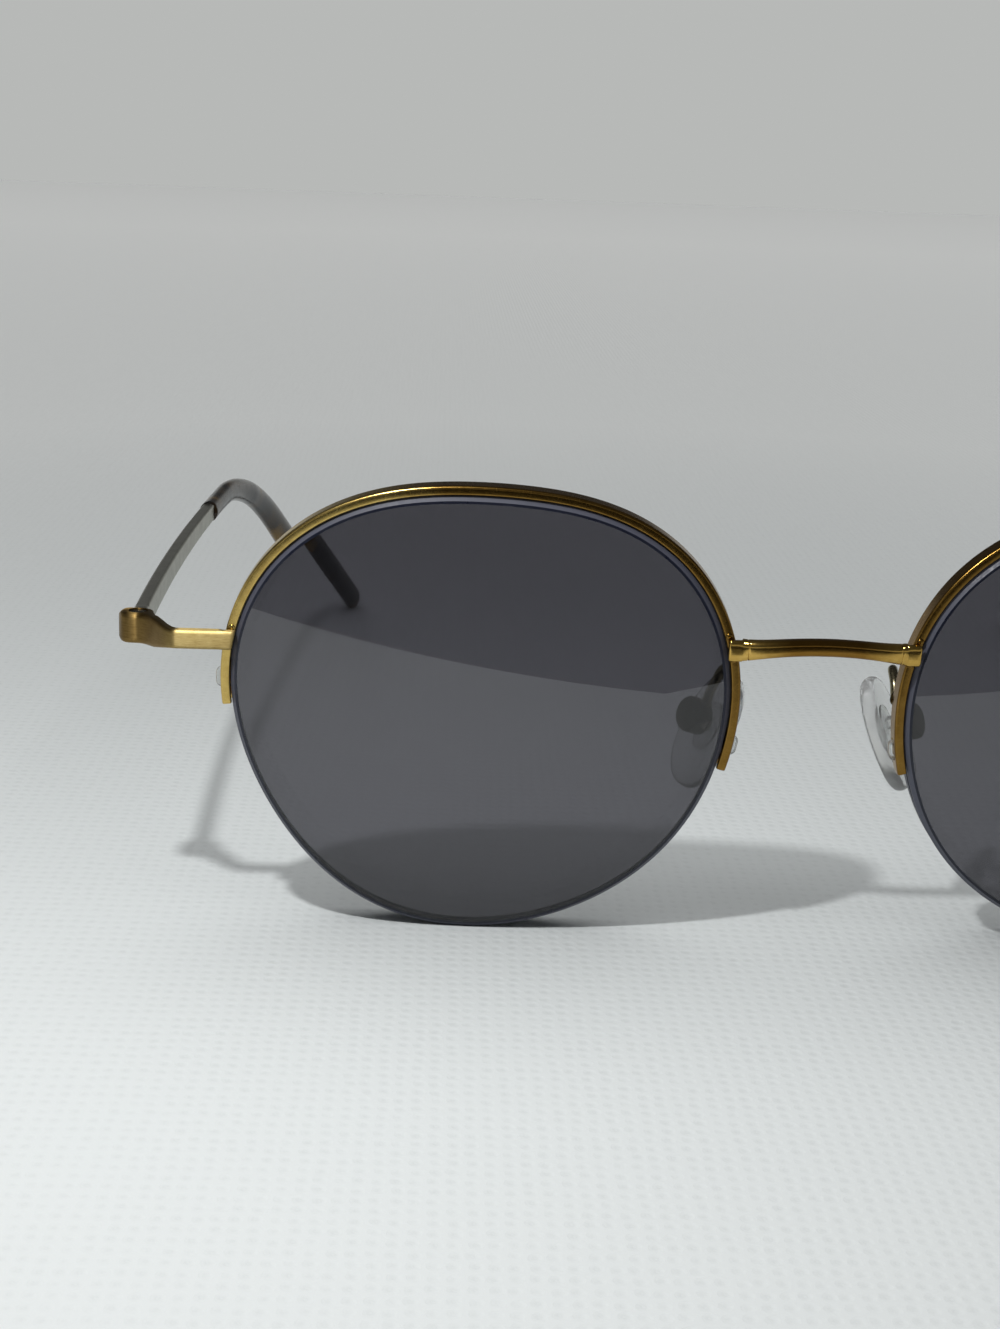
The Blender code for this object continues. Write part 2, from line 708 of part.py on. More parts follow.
def temple_heading(length, drop):
    """Direction of the temple at a length from its hinge."""
    bend = min(max((length - TEMPLE_TO_BEND) / TEMPLE_BEND_LENGTH + 0.5, 0.0), 1.0)
    down = math.radians(mix(TEMPLE_SLOPE, drop, bend))
    inward = math.radians(mix(TEMPLE_INWARD, TIP_TURN, bend))
    if length < TEMPLE_TO_BEND:
        inward -= math.atan(4 * TEMPLE_BOW / TEMPLE_TO_BEND * (1 - 2 * length / TEMPLE_TO_BEND))
    return Vector((-math.sin(inward) * math.cos(down), math.cos(inward) * math.cos(down), -math.sin(down)))


def temple_line(drop):
    """Points at even steps along the temple's centre line."""
    step = TEMPLE_LENGTH / TEMPLE_STEPS
    line = [HINGE.copy()]
    for index in range(TEMPLE_STEPS):
        line.append(line[-1] + temple_heading((index + 0.5) * step, drop) * step)
    return line


def paddle_share(length):
    """How far the sleeve has grown from its start into the paddle."""
    return smooth((length - SLEEVE_START) / (TEMPLE_LENGTH - PADDLE_FROM_END - SLEEVE_START))


def sleeve_size(length):
    """Thickness and height of the sleeve, drawn in over its round end."""
    share = paddle_share(length)
    thickness = mix(SLEEVE_THICKNESS, PADDLE_THICKNESS, share)
    height = mix(SLEEVE_HEIGHT, PADDLE_HEIGHT, share)
    end = max(length - (TEMPLE_LENGTH - PADDLE_HEIGHT / 2), 0) / (PADDLE_HEIGHT / 2)
    closing = max(math.sqrt(max(1 - end * end, 0.0)), TIP_CLOSING)
    return thickness * closing, height * closing


def lowest_point(drop):
    """Height of the underside of the tip above the table."""
    line = temple_line(drop)
    lowest = math.inf
    for index, place in enumerate(line):
        length = index * TEMPLE_LENGTH / (len(line) - 1)
        if length >= SLEEVE_START:
            level = math.sqrt(1 - temple_heading(length, drop).z ** 2)
            lowest = min(lowest, place.z - sleeve_size(length)[1] / 2 * level)
    return lowest


def resting_drop():
    """Angle in degrees that bends the tips down until they rest on the table."""
    low, high = TEMPLE_SLOPE, STEEPEST_DROP
    for _ in range(30):
        middle = (low + high) / 2
        if lowest_point(middle) > 0:
            low = middle
        else:
            high = middle
    return low


TIP_DROP = resting_drop()
TEMPLE_LINE = temple_line(TIP_DROP)


def along_temple(length):
    """Point of the temple's centre line at a length from the hinge."""
    place = length / TEMPLE_LENGTH * (len(TEMPLE_LINE) - 1)
    index = min(int(place), len(TEMPLE_LINE) - 2)
    return TEMPLE_LINE[index].lerp(TEMPLE_LINE[index + 1], place - index)


def temple_knuckle(side, holder):
    """The temple's hinge half: a knuckle between the ears and a shoulder that stops on the block."""
    up = Vector((0, 0, 1))
    heading = temple_heading(0, TIP_DROP)
    heading = Vector((heading.x, heading.y, 0)).normalized()
    across = heading.cross(up)
    low = HINGE - up * KNUCKLE_HEIGHT / 2
    points, faces = disc(low, up, KNUCKLE_DIAMETER / 2, KNUCKLE_HEIGHT)
    made = solid(side_name("temple_knuckle", side), "temple_metal", points, faces, side, holder)
    reach = SHOULDER_FROM_AXIS + SHOULDER_LENGTH / 2
    start = KNUCKLE_DIAMETER / 4
    neck = block(HINGE + heading * (start + reach) / 2, (across, heading, up),
                 (KNUCKLE_NECK, reach - start, KNUCKLE_HEIGHT - 2 * FUSE_INSET))
    combine(made, helper(side_name("knuckle_neck", side), *neck, side, holder), "UNION")
    shoulder = block(HINGE + heading * reach, (across, heading, up),
                     (ARM_THICKNESS, SHOULDER_LENGTH, ARM_HEIGHT))
    combine(made, helper(side_name("knuckle_shoulder", side), *shoulder, side, holder), "UNION")
    bore = HINGE_SCREW_DIAMETER / 2 + SCREW_CLEARANCE
    hole = disc(HINGE - up * KNUCKLE_HEIGHT, up, bore, 2 * KNUCKLE_HEIGHT)
    combine(made, helper(side_name("knuckle_hole", side), *hole, side, holder), "DIFFERENCE")
    return made


def temple_arm(side, holder):
    """The metal rod, which goes on as a thin core wire inside the tip."""
    start = SHOULDER_FROM_AXIS + SHOULDER_LENGTH + FIT_GAP
    rod = [mix(start, SLEEVE_START - FIT_GAP, step / ROD_STEPS) for step in range(ROD_STEPS + 1)]
    core_end = TEMPLE_LENGTH - CORE_END_MARGIN
    core = [mix(SLEEVE_START, core_end, step / CORE_STEPS) for step in range(CORE_STEPS + 1)]
    sections = []
    for step in range(len(rod)):
        half = mix(ARM_HEIGHT, ARM_END_HEIGHT, step / ROD_STEPS) / 2
        sections.append(rounded_box((-ARM_THICKNESS / 2, -half), (ARM_THICKNESS / 2, half), ARM_CORNER))
    radius = CORE_DIAMETER / 2
    sections += [rounded_box((-radius, -radius), (radius, radius), radius)] * len(core)
    path = [along_temple(length) for length in rod + core]
    points, faces = loft(sweep(path, sections, Vector((0, 0, 1))))
    return solid(side_name("temple_arm", side), "temple_metal", points, faces, side, holder)


def temple_tip(side, holder):
    """The tortoise sleeve: a bore for the core wire, growing into a paddle with a round end."""
    up = Vector((0, 0, 1))
    round_start = TEMPLE_LENGTH - PADDLE_HEIGHT / 2
    body = [mix(SLEEVE_START, round_start, step / SLEEVE_STEPS) for step in range(SLEEVE_STEPS + 1)]
    end = [round_start + PADDLE_HEIGHT / 2 * math.sin(math.radians(turn)) for turn in (25, 50, 72, 85)]
    outside = sweep([along_temple(length) for length in body + end],
                    [ellipse(*sleeve_size(length), SLEEVE_SIDES) for length in body + end], up)
    bore_end = TEMPLE_LENGTH - CORE_END_MARGIN + CORE_CLEARANCE
    bore = [mix(SLEEVE_START, bore_end, step / CORE_STEPS) for step in range(CORE_STEPS + 1)]
    diameter = (CORE_DIAMETER + 2 * CORE_CLEARANCE) / math.cos(math.pi / SLEEVE_SIDES)
    inside = sweep([along_temple(length) for length in bore],
                   [ellipse(diameter, diameter, SLEEVE_SIDES)] * len(bore), up)
    # The skin runs out from the blind end of the bore, over the rim of its mouth and along the outside
    points, faces = loft(inside[::-1] + outside)
    return solid(side_name("temple_tip", side), "tortoise", points, faces, side, holder)


# Nose pads
def pad_axes():
    """The pad's own axes: up its length, back across its width, and out from the nose."""
    splay = math.radians(PAD_SPLAY)
    flare = Matrix.Rotation(math.radians(-PAD_FLARE), 3, "Y")
    length = flare @ Vector((0, 0, 1))
    width = flare @ Vector((math.sin(splay), math.cos(splay), 0))
    outward = flare @ Vector((math.cos(splay), -math.sin(splay), 0))
    return length, width, outward


PAD_UP, PAD_BACK, PAD_OUT = pad_axes()
WIRE_SEAT = on_edge(WIRE_ANGLE, RIM_OUTER / 2, RIM_DEPTH / 2)
PAD_AXIS = WIRE_SEAT + Vector((BOX_OUT, BOX_BACKWARD, -BOX_DROP))
BOX_MIDDLE = FIT_GAP
# Bends of the gooseneck: shares of its way out and back to the box, and of its rise
WIRE_BENDS = ((0, 0.1, 0.04), (0, 0.24, 0.62), (0.03, 0.5, 1), (0.3, 0.76, 0.72), (0.68, 0.92, -0.15))
# Section of the pad from its nose side out: shares of its width and of its thickness
PAD_PROFILE = ((0.72, 0), (0.92, 0.14), (1.0, 0.45), (0.97, 0.8), (0.8, 1))
PAD_FULLNESS = 0.85
PAD_FACE = -(BOX_DEPTH / 2 - BOX_MIDDLE + PAD_RUN_CLEARANCE)


def pad_place(up, back, out):
    """From the pad screw's middle, along the pad's own axes, to the glasses."""
    return PAD_AXIS + PAD_UP * up + PAD_BACK * back + PAD_OUT * out


def pad_arm(side, root):
    """The gooseneck wire from the back of the rim to the pad box."""
    start = WIRE_SEAT + Vector((0, 2 * FIT_GAP, 0))
    end = pad_place(BOX_DIAMETER / 2 + FIT_GAP, -WIRE_AHEAD, BOX_MIDDLE)
    run = end - start
    bends = [start + Vector((run.x * out, run.y * back, WIRE_RISE * up)) for out, back, up in WIRE_BENDS]
    path = curve_through([start, *bends, end], WIRE_CUTS)
    sections = [ellipse(WIRE_DIAMETER, WIRE_DIAMETER, WIRE_SIDES)] * len(path)
    points, faces = loft(sweep(path, sections, Vector((1, 0, 0))))
    return solid(side_name("pad_arm", side), "gold", points, faces, side, root)


def curve_through(knots, cuts):
    """A smooth curve through knots, each stretch between two cut into short runs."""
    curve = []
    for index in range(len(knots) - 1):
        before = knots[max(index - 1, 0)]
        start, end = knots[index], knots[index + 1]
        after = knots[min(index + 2, len(knots) - 1)]
        leaving, arriving = start + (end - before) / 6, end - (after - start) / 6
        curve += interpolate_bezier(start, leaving, arriving, end, cuts + 1)[:-1]
    return curve + [knots[-1]]


def pad_box(side, root):
    """The round cup that holds the pad's lug, open towards the pad and along its length."""
    start = pad_place(0, 0, BOX_MIDDLE - BOX_DEPTH / 2)
    points, faces = disc(start, PAD_OUT, BOX_DIAMETER / 2, BOX_DEPTH, BOX_SIDES)
    made = solid(side_name("pad_box", side), "bronze", points, faces, side, root)
    slot_depth = BOX_DEPTH - BOX_BACK + CUT_MARGIN
    slot_middle = BOX_MIDDLE - BOX_DEPTH / 2 - CUT_MARGIN + slot_depth / 2
    slot = block(pad_place(0, 0, slot_middle), (PAD_UP, PAD_BACK, PAD_OUT),
                 (BOX_DIAMETER + 2 * CUT_MARGIN, LUG_WIDTH + 2 * FIT_GAP, slot_depth))
    combine(made, helper(side_name("lug_slot", side), *slot, side, root), "DIFFERENCE")
    hole = disc(pad_place(0, -BOX_DIAMETER, 0), PAD_BACK, PAD_SCREW_DIAMETER / 2 + SCREW_CLEARANCE,
                2 * BOX_DIAMETER, HOLE_SIDES)
    combine(made, helper(side_name("box_hole", side), *hole, side, root), "DIFFERENCE")
    return made


def pad_screw(side, root):
    """The screw across the box on which the pad rocks, its head to the front."""
    half = BOX_DIAMETER / 2 + FIT_GAP
    rings = []
    for back, diameter in ((-half - PAD_HEAD_THICKNESS, PAD_SCREW_HEAD), (-half, PAD_SCREW_HEAD),
                           (-half, PAD_SCREW_DIAMETER), (half, PAD_SCREW_DIAMETER)):
        rings.append([pad_place(up, back, out) for up, out in ellipse(diameter, diameter, HOLE_SIDES)])
    points, faces = loft(rings)
    return solid(side_name("pad_screw", side), "screw_steel", points, faces, side, root)


def nose_pad(side, holder):
    """A clear soft pad: an oval cushion with a lug for the screw."""
    rows = []
    outer, inner = PAD_FACE, PAD_FACE - PAD_THICKNESS
    for share, depth in PAD_PROFILE:
        ring = []
        for step in range(PAD_SIDES):
            turn = 2 * math.pi * step / PAD_SIDES
            up = PAD_LENGTH / 2 * math.cos(turn)
            back = PAD_WIDTH / 2 * math.copysign(abs(math.sin(turn)) ** PAD_FULLNESS, math.sin(turn))
            inset = (1 - share) * PAD_WIDTH / 2
            up -= math.copysign(min(inset, abs(up)), up) * abs(math.cos(turn))
            back -= math.copysign(min(inset, abs(back)), back) * abs(math.sin(turn))
            ring.append(pad_place(up - PAD_OFFSET, back, mix(inner, outer, depth)))
        rows.append(ring)
    points, faces = loft(rows)
    made = solid(side_name("nose_pad", side), "silicone", points, faces, side, holder)
    lug = disc(pad_place(0, -LUG_WIDTH / 2, 0), PAD_BACK, LUG_RADIUS, LUG_WIDTH, LUG_SIDES)
    stem_depth = -PAD_FACE + PAD_THICKNESS / 4
    stem = block(pad_place(0, 0, -stem_depth / 2), (PAD_UP, PAD_BACK, PAD_OUT),
                 (LUG_STEM_WIDTH, LUG_WIDTH - 2 * FUSE_INSET, stem_depth))
    for name, shape in (("lug_round", lug), ("lug_stem", stem)):
        combine(made, helper(side_name(name, side), *shape, side, holder), "UNION")
    hole = disc(pad_place(0, -LUG_WIDTH, 0), PAD_BACK, PAD_SCREW_DIAMETER / 2 + SCREW_CLEARANCE,
                2 * LUG_WIDTH, HOLE_SIDES)
    combine(made, helper(side_name("lug_hole", side), *hole, side, holder), "DIFFERENCE")
    return made


def side_name(name, side):
    """Name of a piece on the wearer's left (1) or right (-1)."""
    return f"{name}_{'left' if side > 0 else 'right'}"


def mirrored(place, side):
    """A place on the wearer's left, moved to a side."""
    return Vector((place.x * side, place.y, place.z))


def centre_on_base(root):
    """Move the glasses so that the origin is the bottom centre of their bounding box."""
    bpy.context.view_layer.update()
    low, high = Vector((math.inf,) * 3), Vector((-math.inf,) * 3)
    for piece in bpy.data.objects:
        if piece.type != "MESH" or piece.hide_render:
            continue
        for vertex in piece.data.vertices:
            place = piece.matrix_world @ vertex.co
            low = Vector(map(min, low, place))
            high = Vector(map(max, high, place))
    root.location = -Vector(((low.x + high.x) / 2, (low.y + high.y) / 2, low.z))


def main():
    clear_scene()
    root = pivot("glasses", Vector())
    bridge(root)
    for side in (-1, 1):
        hinge = pivot(side_name("hinge_axis", side), mirrored(HINGE, side), root)
        rocker = pivot(side_name("pad_axis", side), mirrored(PAD_AXIS, side), root)
        for make in (rim, rim_liner, lens, lens_cord, endpiece, hinge_screw, pad_arm, pad_box, pad_screw):
            make(side, root)
        for make in (temple_knuckle, temple_arm, temple_tip):
            make(side, hinge)
        nose_pad(side, rocker)
    centre_on_base(root)


main()
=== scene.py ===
import math

import bmesh
import bpy
from mathutils import Matrix, Vector
from mathutils.geometry import interpolate_bezier


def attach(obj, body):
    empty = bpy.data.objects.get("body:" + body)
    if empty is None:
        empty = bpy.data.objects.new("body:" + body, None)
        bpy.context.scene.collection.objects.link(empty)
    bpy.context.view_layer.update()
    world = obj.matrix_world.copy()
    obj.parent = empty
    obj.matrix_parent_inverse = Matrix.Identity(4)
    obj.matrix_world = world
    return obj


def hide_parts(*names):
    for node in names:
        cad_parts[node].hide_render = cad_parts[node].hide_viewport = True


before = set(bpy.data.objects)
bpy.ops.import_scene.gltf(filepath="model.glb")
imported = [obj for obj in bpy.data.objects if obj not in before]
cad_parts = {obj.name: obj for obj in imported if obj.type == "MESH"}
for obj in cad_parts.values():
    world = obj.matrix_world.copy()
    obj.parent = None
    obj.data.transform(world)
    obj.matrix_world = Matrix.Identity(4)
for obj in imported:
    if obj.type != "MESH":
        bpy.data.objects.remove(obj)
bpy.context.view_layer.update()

# Half rims. Each is a nickel silver wire with a channel rolled along its inner side, bent over the top of its
# lens, brushed across and plated in antique gold. Two holes near each end take the cord. Everything is drawn
# on the wearer's left in millimetres, with X outward, and finished for both sides.
MM = 0.001
TO_TABLE = Vector((0, -70.73588, -0.02338))
LENS_WIDTH, LENS_HEIGHT, LENS_GAP = 50.0, 46.75, 18.0
EDGE_RADII = (24.9, 25.5, 23.9, 22.4, 24.0, 25.6, 24.9, 23.9, 24.4, 24.25, 23.9, 24.25)
FRONT_CURVE, GROOVE_SETBACK = 170.0, 1.1
TILT, WRAP = math.radians(5.7), math.radians(2.2)
RIM_GAP, RIM_HEIGHT, RIM_DEPTH = 0.1, 0.95, 2.0
RIM_OUTER = RIM_GAP + RIM_HEIGHT
RIM_START, RIM_END, RIM_STEPS = -12.0, 180.5, 168
RIM_ROUNDING, LIP_ROUNDING = 0.3, 0.2
CHANNEL_WIDTH, CHANNEL_DEPTH = 1.1, 0.45
HOLE_FROM_END, HOLE_SPACING, HOLE_RADIUS, HOLE_SIDES = 1.7, 1.6, 0.33, 20
SINK_DEPTH, SINK_FLARE = 0.12, 0.2
CUT_BEYOND = 1.0


def pattern_point(turn):
    """Point of the lens pattern at an angle in radians from the nose, over the top."""
    count = len(EDGE_RADII)
    radius = sum(EDGE_RADII) / count
    for wave in range(1, count // 2 + 1):
        share = (1 if wave < count // 2 else 0.5) * 2 / count
        for index, value in enumerate(EDGE_RADII):
            radius += share * value * math.cos(wave * (turn - 2 * math.pi * index / count))
    return radius * math.cos(turn), radius * math.sin(turn)


across, upright = zip(*(pattern_point(math.radians(degree)) for degree in range(360)))
STRETCH_X = LENS_WIDTH / (max(across) - min(across))
STRETCH_Z = LENS_HEIGHT / (max(upright) - min(upright))
LENS_X = LENS_GAP / 2 + max(across) * STRETCH_X * math.cos(WRAP)
LENS_Z = 23.97508


def bulge(distance, radius):
    """Depth of a lens surface at a distance from its middle."""
    return radius - math.sqrt(radius * radius - distance * distance)


def lens_edge(angle, out=0.0):
    """Point of the lens edge in the lens's own plane, moved out square to the edge."""
    turn, step = math.radians(angle), 1e-4
    x0, z0 = pattern_point(turn)
    x1, z1 = pattern_point(turn + step)
    run_x, run_z = (x1 - x0) * STRETCH_X, (z1 - z0) * STRETCH_Z
    length = math.hypot(run_x, run_z)
    return x0 * STRETCH_X + out * run_z / length, z0 * STRETCH_Z - out * run_x / length


def on_lens(x, z, depth):
    """From the lens's own plane, nose side positive, to the glasses."""
    turned_x = x * math.cos(WRAP) + depth * math.sin(WRAP)
    turned_y = depth * math.cos(WRAP) - x * math.sin(WRAP)
    return Vector((
        LENS_X - turned_x,
        turned_y * math.cos(TILT) - z * math.sin(TILT),
        turned_y * math.sin(TILT) + z * math.cos(TILT) + LENS_Z,
    ))


def beside_lens(angle, out, depth=0.0):
    """Point out from the lens edge, and behind the middle of its groove."""
    groove_depth = bulge(math.hypot(*lens_edge(angle)), FRONT_CURVE) + GROOVE_SETBACK
    return on_lens(*lens_edge(angle, out), groove_depth + depth)


def placed(origin, *axes):
    """A place with its origin and its own three axes."""
    place = Matrix(axes).transposed().to_4x4()
    place.translation = origin
    return place


def edge_place(angle, out=0.0):
    """Place on the lens edge for a section: its first axis out from the lens, its second to the back."""
    origin = beside_lens(angle, out)
    outward = (beside_lens(angle, out + 1) - origin).normalized()
    backward = (on_lens(0, 0, 1) - on_lens(0, 0, 0)).normalized()
    return placed(origin, outward, backward, outward.cross(backward))


def turn_for(angle, length):
    """Angle in degrees that a length along the lens edge spans."""
    return math.degrees(length / math.hypot(*lens_edge(angle)))


def blank_form(*layers):
    """An empty bmesh with a map for brush marks to follow, and layers of numbers for its vertices."""
    form = bmesh.new()
    for layer in layers:
        form.verts.layers.float.new(layer)
    form.loops.layers.uv.new("Grain")
    return form


def outline_of(corners, rounding, segments, rounded=None):
    """A closed flat outline through a few corners, all or the chosen ones rounded with a bevel."""
    form = blank_form("along", "around")
    verts = [form.verts.new((a, b, 0)) for a, b in corners]
    form.faces.new(verts)
    chosen = verts if rounded is None else [verts[index] for index in rounded]
    bmesh.ops.bevel(form, geom=chosen, offset=rounding, segments=segments, profile=0.5, affect="VERTICES",
                    material=-1)
    bmesh.ops.delete(form, geom=form.faces[:], context="FACES_ONLY")
    return form


def grain_map(form, girth):
    """Lays the surface out by its length along a wire and round it, in millimetres."""
    along, around = form.verts.layers.float["along"], form.verts.layers.float["around"]
    grain = form.loops.layers.uv["Grain"]
    for face in form.faces:
        wraps = max(v[around] for v in face.verts) - min(v[around] for v in face.verts) > girth / 2
        for loop in face.loops:
            reach = loop.vert[around]
            if wraps and reach < girth / 2:
                reach += girth
            loop[grain].uv = (loop.vert[along], reach)


def next_ring(form, edges):
    """Extrudes a ring of edges where it is, and gives the vertices and edges of the new ring."""
    drawn = bmesh.ops.extrude_edge_only(form, edges=edges)["geom"]
    ring = [item for item in drawn if isinstance(item, bmesh.types.BMVert)]
    return ring, [item for item in drawn if isinstance(item, bmesh.types.BMEdge)
                  and all(vertex in ring for vertex in item.verts)]


def draw_wire(form, places, end_rounding=0.0):
    """Carries an outline through places, as wire is bent, closes its ends and rounds their edges."""
    along, around = form.verts.layers.float["along"], form.verts.layers.float["around"]
    first = form.verts[:][0]
    vertex, edge, girth = first, first.link_edges[0], 0.0
    while True:
        after = edge.other_vert(vertex)
        girth += (after.co - vertex.co).length
        if after == first:
            break
        after[around] = girth
        edge = next(other for other in after.link_edges if other != edge)
        vertex = after
    edges, length = form.edges[:], 0.0
    ends = [edges]
    bmesh.ops.transform(form, matrix=places[0], verts=form.verts[:])
    for before, after in zip(places, places[1:]):
        length += (after.translation - before.translation).length
        ring, edges = next_ring(form, edges)
        for vertex in ring:
            vertex[along] = length
        bmesh.ops.transform(form, matrix=after @ before.inverted(), verts=ring)
    ends.append(edges)
    caps = [face for loop in ends for face in bmesh.ops.edgeloop_fill(form, edges=loop)["faces"]]
    bmesh.ops.recalc_face_normals(form, faces=form.faces)
    if end_rounding:
        # Not a set, because its order changes from run to run
        rims = list(dict.fromkeys(edge for face in caps for edge in face.edges))
        bmesh.ops.bevel(form, geom=rims, offset=end_rounding, segments=3, profile=0.5, affect="EDGES",
                        material=-1, clamp_overlap=True)
    grain_map(form, girth)
    return form


def mesh_of(form, name):
    """A mesh made from a form, which is used up."""
    mesh = bpy.data.meshes.new(name)
    form.to_mesh(mesh)
    form.free()
    return mesh


def new_object(name, data):
    """An object that stands in the scene."""
    item = bpy.data.objects.new(name, data)
    bpy.context.scene.collection.objects.link(item)
    return item


def cut(form, tool, operation="DIFFERENCE"):
    """Cuts a form with a tool, or joins the two, and gives the new form."""
    work, cutter = new_object("work", mesh_of(form, "work")), new_object("tool", mesh_of(tool, "tool"))
    modifier = work.modifiers.new("cut", "BOOLEAN")
    modifier.operation, modifier.object, modifier.solver = operation, cutter, "EXACT"
    done = work.evaluated_get(bpy.context.evaluated_depsgraph_get())
    result = bmesh.new()
    result.from_mesh(done.to_mesh())
    done.to_mesh_clear()
    for scratch in (work, cutter):
        mesh = scratch.data
        bpy.data.objects.remove(scratch)
        bpy.data.meshes.remove(mesh)
    return result


def facing(point, direction):
    """A place whose third axis points in a direction."""
    return Matrix.Translation(point) @ direction.to_track_quat("Z", "Y").to_matrix().to_4x4()


def pin(start, end, radius, sides, end_radius=None):
    """A round bar between two points, straight or tapered."""
    form = blank_form()
    axis = end - start
    bmesh.ops.create_cone(form, cap_ends=True, segments=sides, radius1=radius, radius2=end_radius or radius,
                          depth=axis.length, matrix=facing((start + end) / 2, axis))
    return form


def finish(name, form, materials, bodies=("front", "front"), stands_for=None, like=None, sharp=38,
           weighted=True, bevel=0.0, both=True):
    """Makes the finished piece on both sides, right way out, and sets it in the place of its solid."""
    for side, body in zip(("_left", "_right") if both else ("",), bodies):
        copy = form.copy()
        mirror = -1 if side == "_right" else 1
        bmesh.ops.translate(copy, vec=TO_TABLE, verts=copy.verts)
        bmesh.ops.scale(copy, vec=(MM * mirror, MM, MM), verts=copy.verts)
        if mirror < 0:
            bmesh.ops.reverse_faces(copy, faces=copy.faces)
        for layer in list(copy.verts.layers.float):
            copy.verts.layers.float.remove(layer)
        mesh = mesh_of(copy, name + side)
        mesh.shade_smooth()
        mesh.set_sharp_from_angle(angle=math.radians(sharp))
        piece = new_object(name + side, mesh)
        for material in materials:
            mesh.materials.append(material)
        if bevel:
            modifier = piece.modifiers.new("broken edges", "BEVEL")
            modifier.width, modifier.segments, modifier.limit_method = bevel * MM, 2, "ANGLE"
            modifier.angle_limit = math.radians(sharp)
        if weighted:
            piece.modifiers.new("even shading", "WEIGHTED_NORMAL").keep_sharp = True
        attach(piece, body)
        node = (stands_for or like) + side
        if stands_for:
            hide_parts(node)
    form.free()


def fill(tree, node, sockets):
    """Sets or links a node's inputs, given by name or number."""
    for key, value in sockets.items():
        socket = node.inputs[key]
        if isinstance(value, bpy.types.NodeSocket):
            tree.links.new(value, socket)
        else:
            socket.default_value = value


def new_material(name, colour, roughness, metallic=0.0):
    """A material, its node tree and its shader."""
    material = bpy.data.materials.new(name)
    material.use_nodes = True
    tree = material.node_tree
    shader = tree.nodes["Principled BSDF"]
    fill(tree, shader, {"Base Color": (*colour, 1), "Roughness": roughness, "Metallic": metallic})
    return material, tree, shader


def add_node(tree, kind, settings=(), sockets=(), **inputs):
    """Adds a node, makes its own settings and fills its inputs."""
    node = tree.nodes.new(kind)
    for key, value in dict(settings).items():
        setattr(node, key, value)
    fill(tree, node, {**dict(sockets), **{key.replace("_", " "): value for key, value in inputs.items()}})
    return node


def noise(tree, place, scale, detail, settings=(), **inputs):
    """A fine noise over a piece."""
    node = add_node(tree, "ShaderNodeTexNoise", settings, Vector=place, Scale=scale, Detail=detail, **inputs)
    return node.outputs["Fac"]


def ramp(tree, factor, stops):
    """A colour ramp through (place, colour) stops."""
    node = add_node(tree, "ShaderNodeValToRGB", Fac=factor)
    elements = node.color_ramp.elements
    while len(elements) < len(stops):
        elements.new(0.5)
    for element, (place, colour) in zip(elements, stops):
        element.position, element.color = place, (*colour, 1)
    return node.outputs["Color"]


def spread(tree, factor, low, high, start=0.0, end=1.0):
    """A value spread from one range to another."""
    node = add_node(tree, "ShaderNodeMapRange", Value=factor, From_Min=start, From_Max=end, To_Min=low,
                    To_Max=high)
    return node.outputs["Result"]


def mixed(tree, share, first, second):
    """A value between two others."""
    return add_node(tree, "ShaderNodeMix", {"data_type": "FLOAT"}, {0: share, 2: first, 3: second}).outputs[0]


def mixed_colour(tree, share, first, second, way="MIX"):
    """A colour between two others, or one times the other."""
    settings = {"data_type": "RGBA", "blend_type": way}
    return add_node(tree, "ShaderNodeMix", settings, {0: share, 6: first, 7: second}).outputs[2]


def brushed_metal(name, tones, roughness, marks, patina, spreads=0.0, lengthwise=False, depth=0.000004,
                  painted_shade=None):
    """A plated metal with fine brush marks that follow the piece, and patina in soft patches.

    The marks spread a highlight square to themselves. The last argument gives two distances sideways,
    between which the colour darkens to a shade: painted shade standing in for dark reflections, not patina.
    """
    material, tree, shader = new_material(name, tones[1], roughness[0], 1.0)
    if spreads:
        settings = {"direction_type": "UV_MAP", "uv_map": "Grain"}
        fill(tree, shader, {"Tangent": add_node(tree, "ShaderNodeTangent", settings).outputs["Tangent"],
                            "Anisotropic": spreads, "Anisotropic Rotation": 0.25 if lengthwise else 0.0})
    grain = add_node(tree, "ShaderNodeUVMap", {"uv_map": "Grain"}).outputs["UV"]
    laid = add_node(tree, "ShaderNodeMapping", Vector=grain, Scale=(*marks, 1)).outputs["Vector"]
    brush = noise(tree, laid, 1.0, 4.0, {"noise_dimensions": "2D"}, Roughness=0.7)
    place = add_node(tree, "ShaderNodeTexCoord").outputs["Object"]
    patch = noise(tree, place, patina, 5.0, Roughness=0.6)
    speck = noise(tree, place, patina * 9, 2.0)
    colour = ramp(tree, mixed(tree, 0.45, brush, patch), list(zip((0.3, 0.52, 0.72), tones)))
    # Painted shade: darker between two distances sideways from the middle, standing in for dark reflections
    if painted_shade:
        clear, deep, shade = painted_shade
        x = add_node(tree, "ShaderNodeSeparateXYZ", Vector=place).outputs["X"]
        sideways = add_node(tree, "ShaderNodeMath", {"operation": "ABSOLUTE"}, {0: x}).outputs[0]
        share = spread(tree, sideways, 0, 1, clear * MM, deep * MM)
        colour = mixed_colour(tree, share, colour, (*shade, 1), "MULTIPLY")
    rough = spread(tree, mixed(tree, 0.4, brush, speck), *roughness, 0.3, 0.7)
    bump = add_node(tree, "ShaderNodeBump", Strength=0.6, Distance=depth, Height=brush).outputs["Normal"]
    fill(tree, shader, {"Base Color": colour, "Roughness": rough, "Normal": bump})
    return material
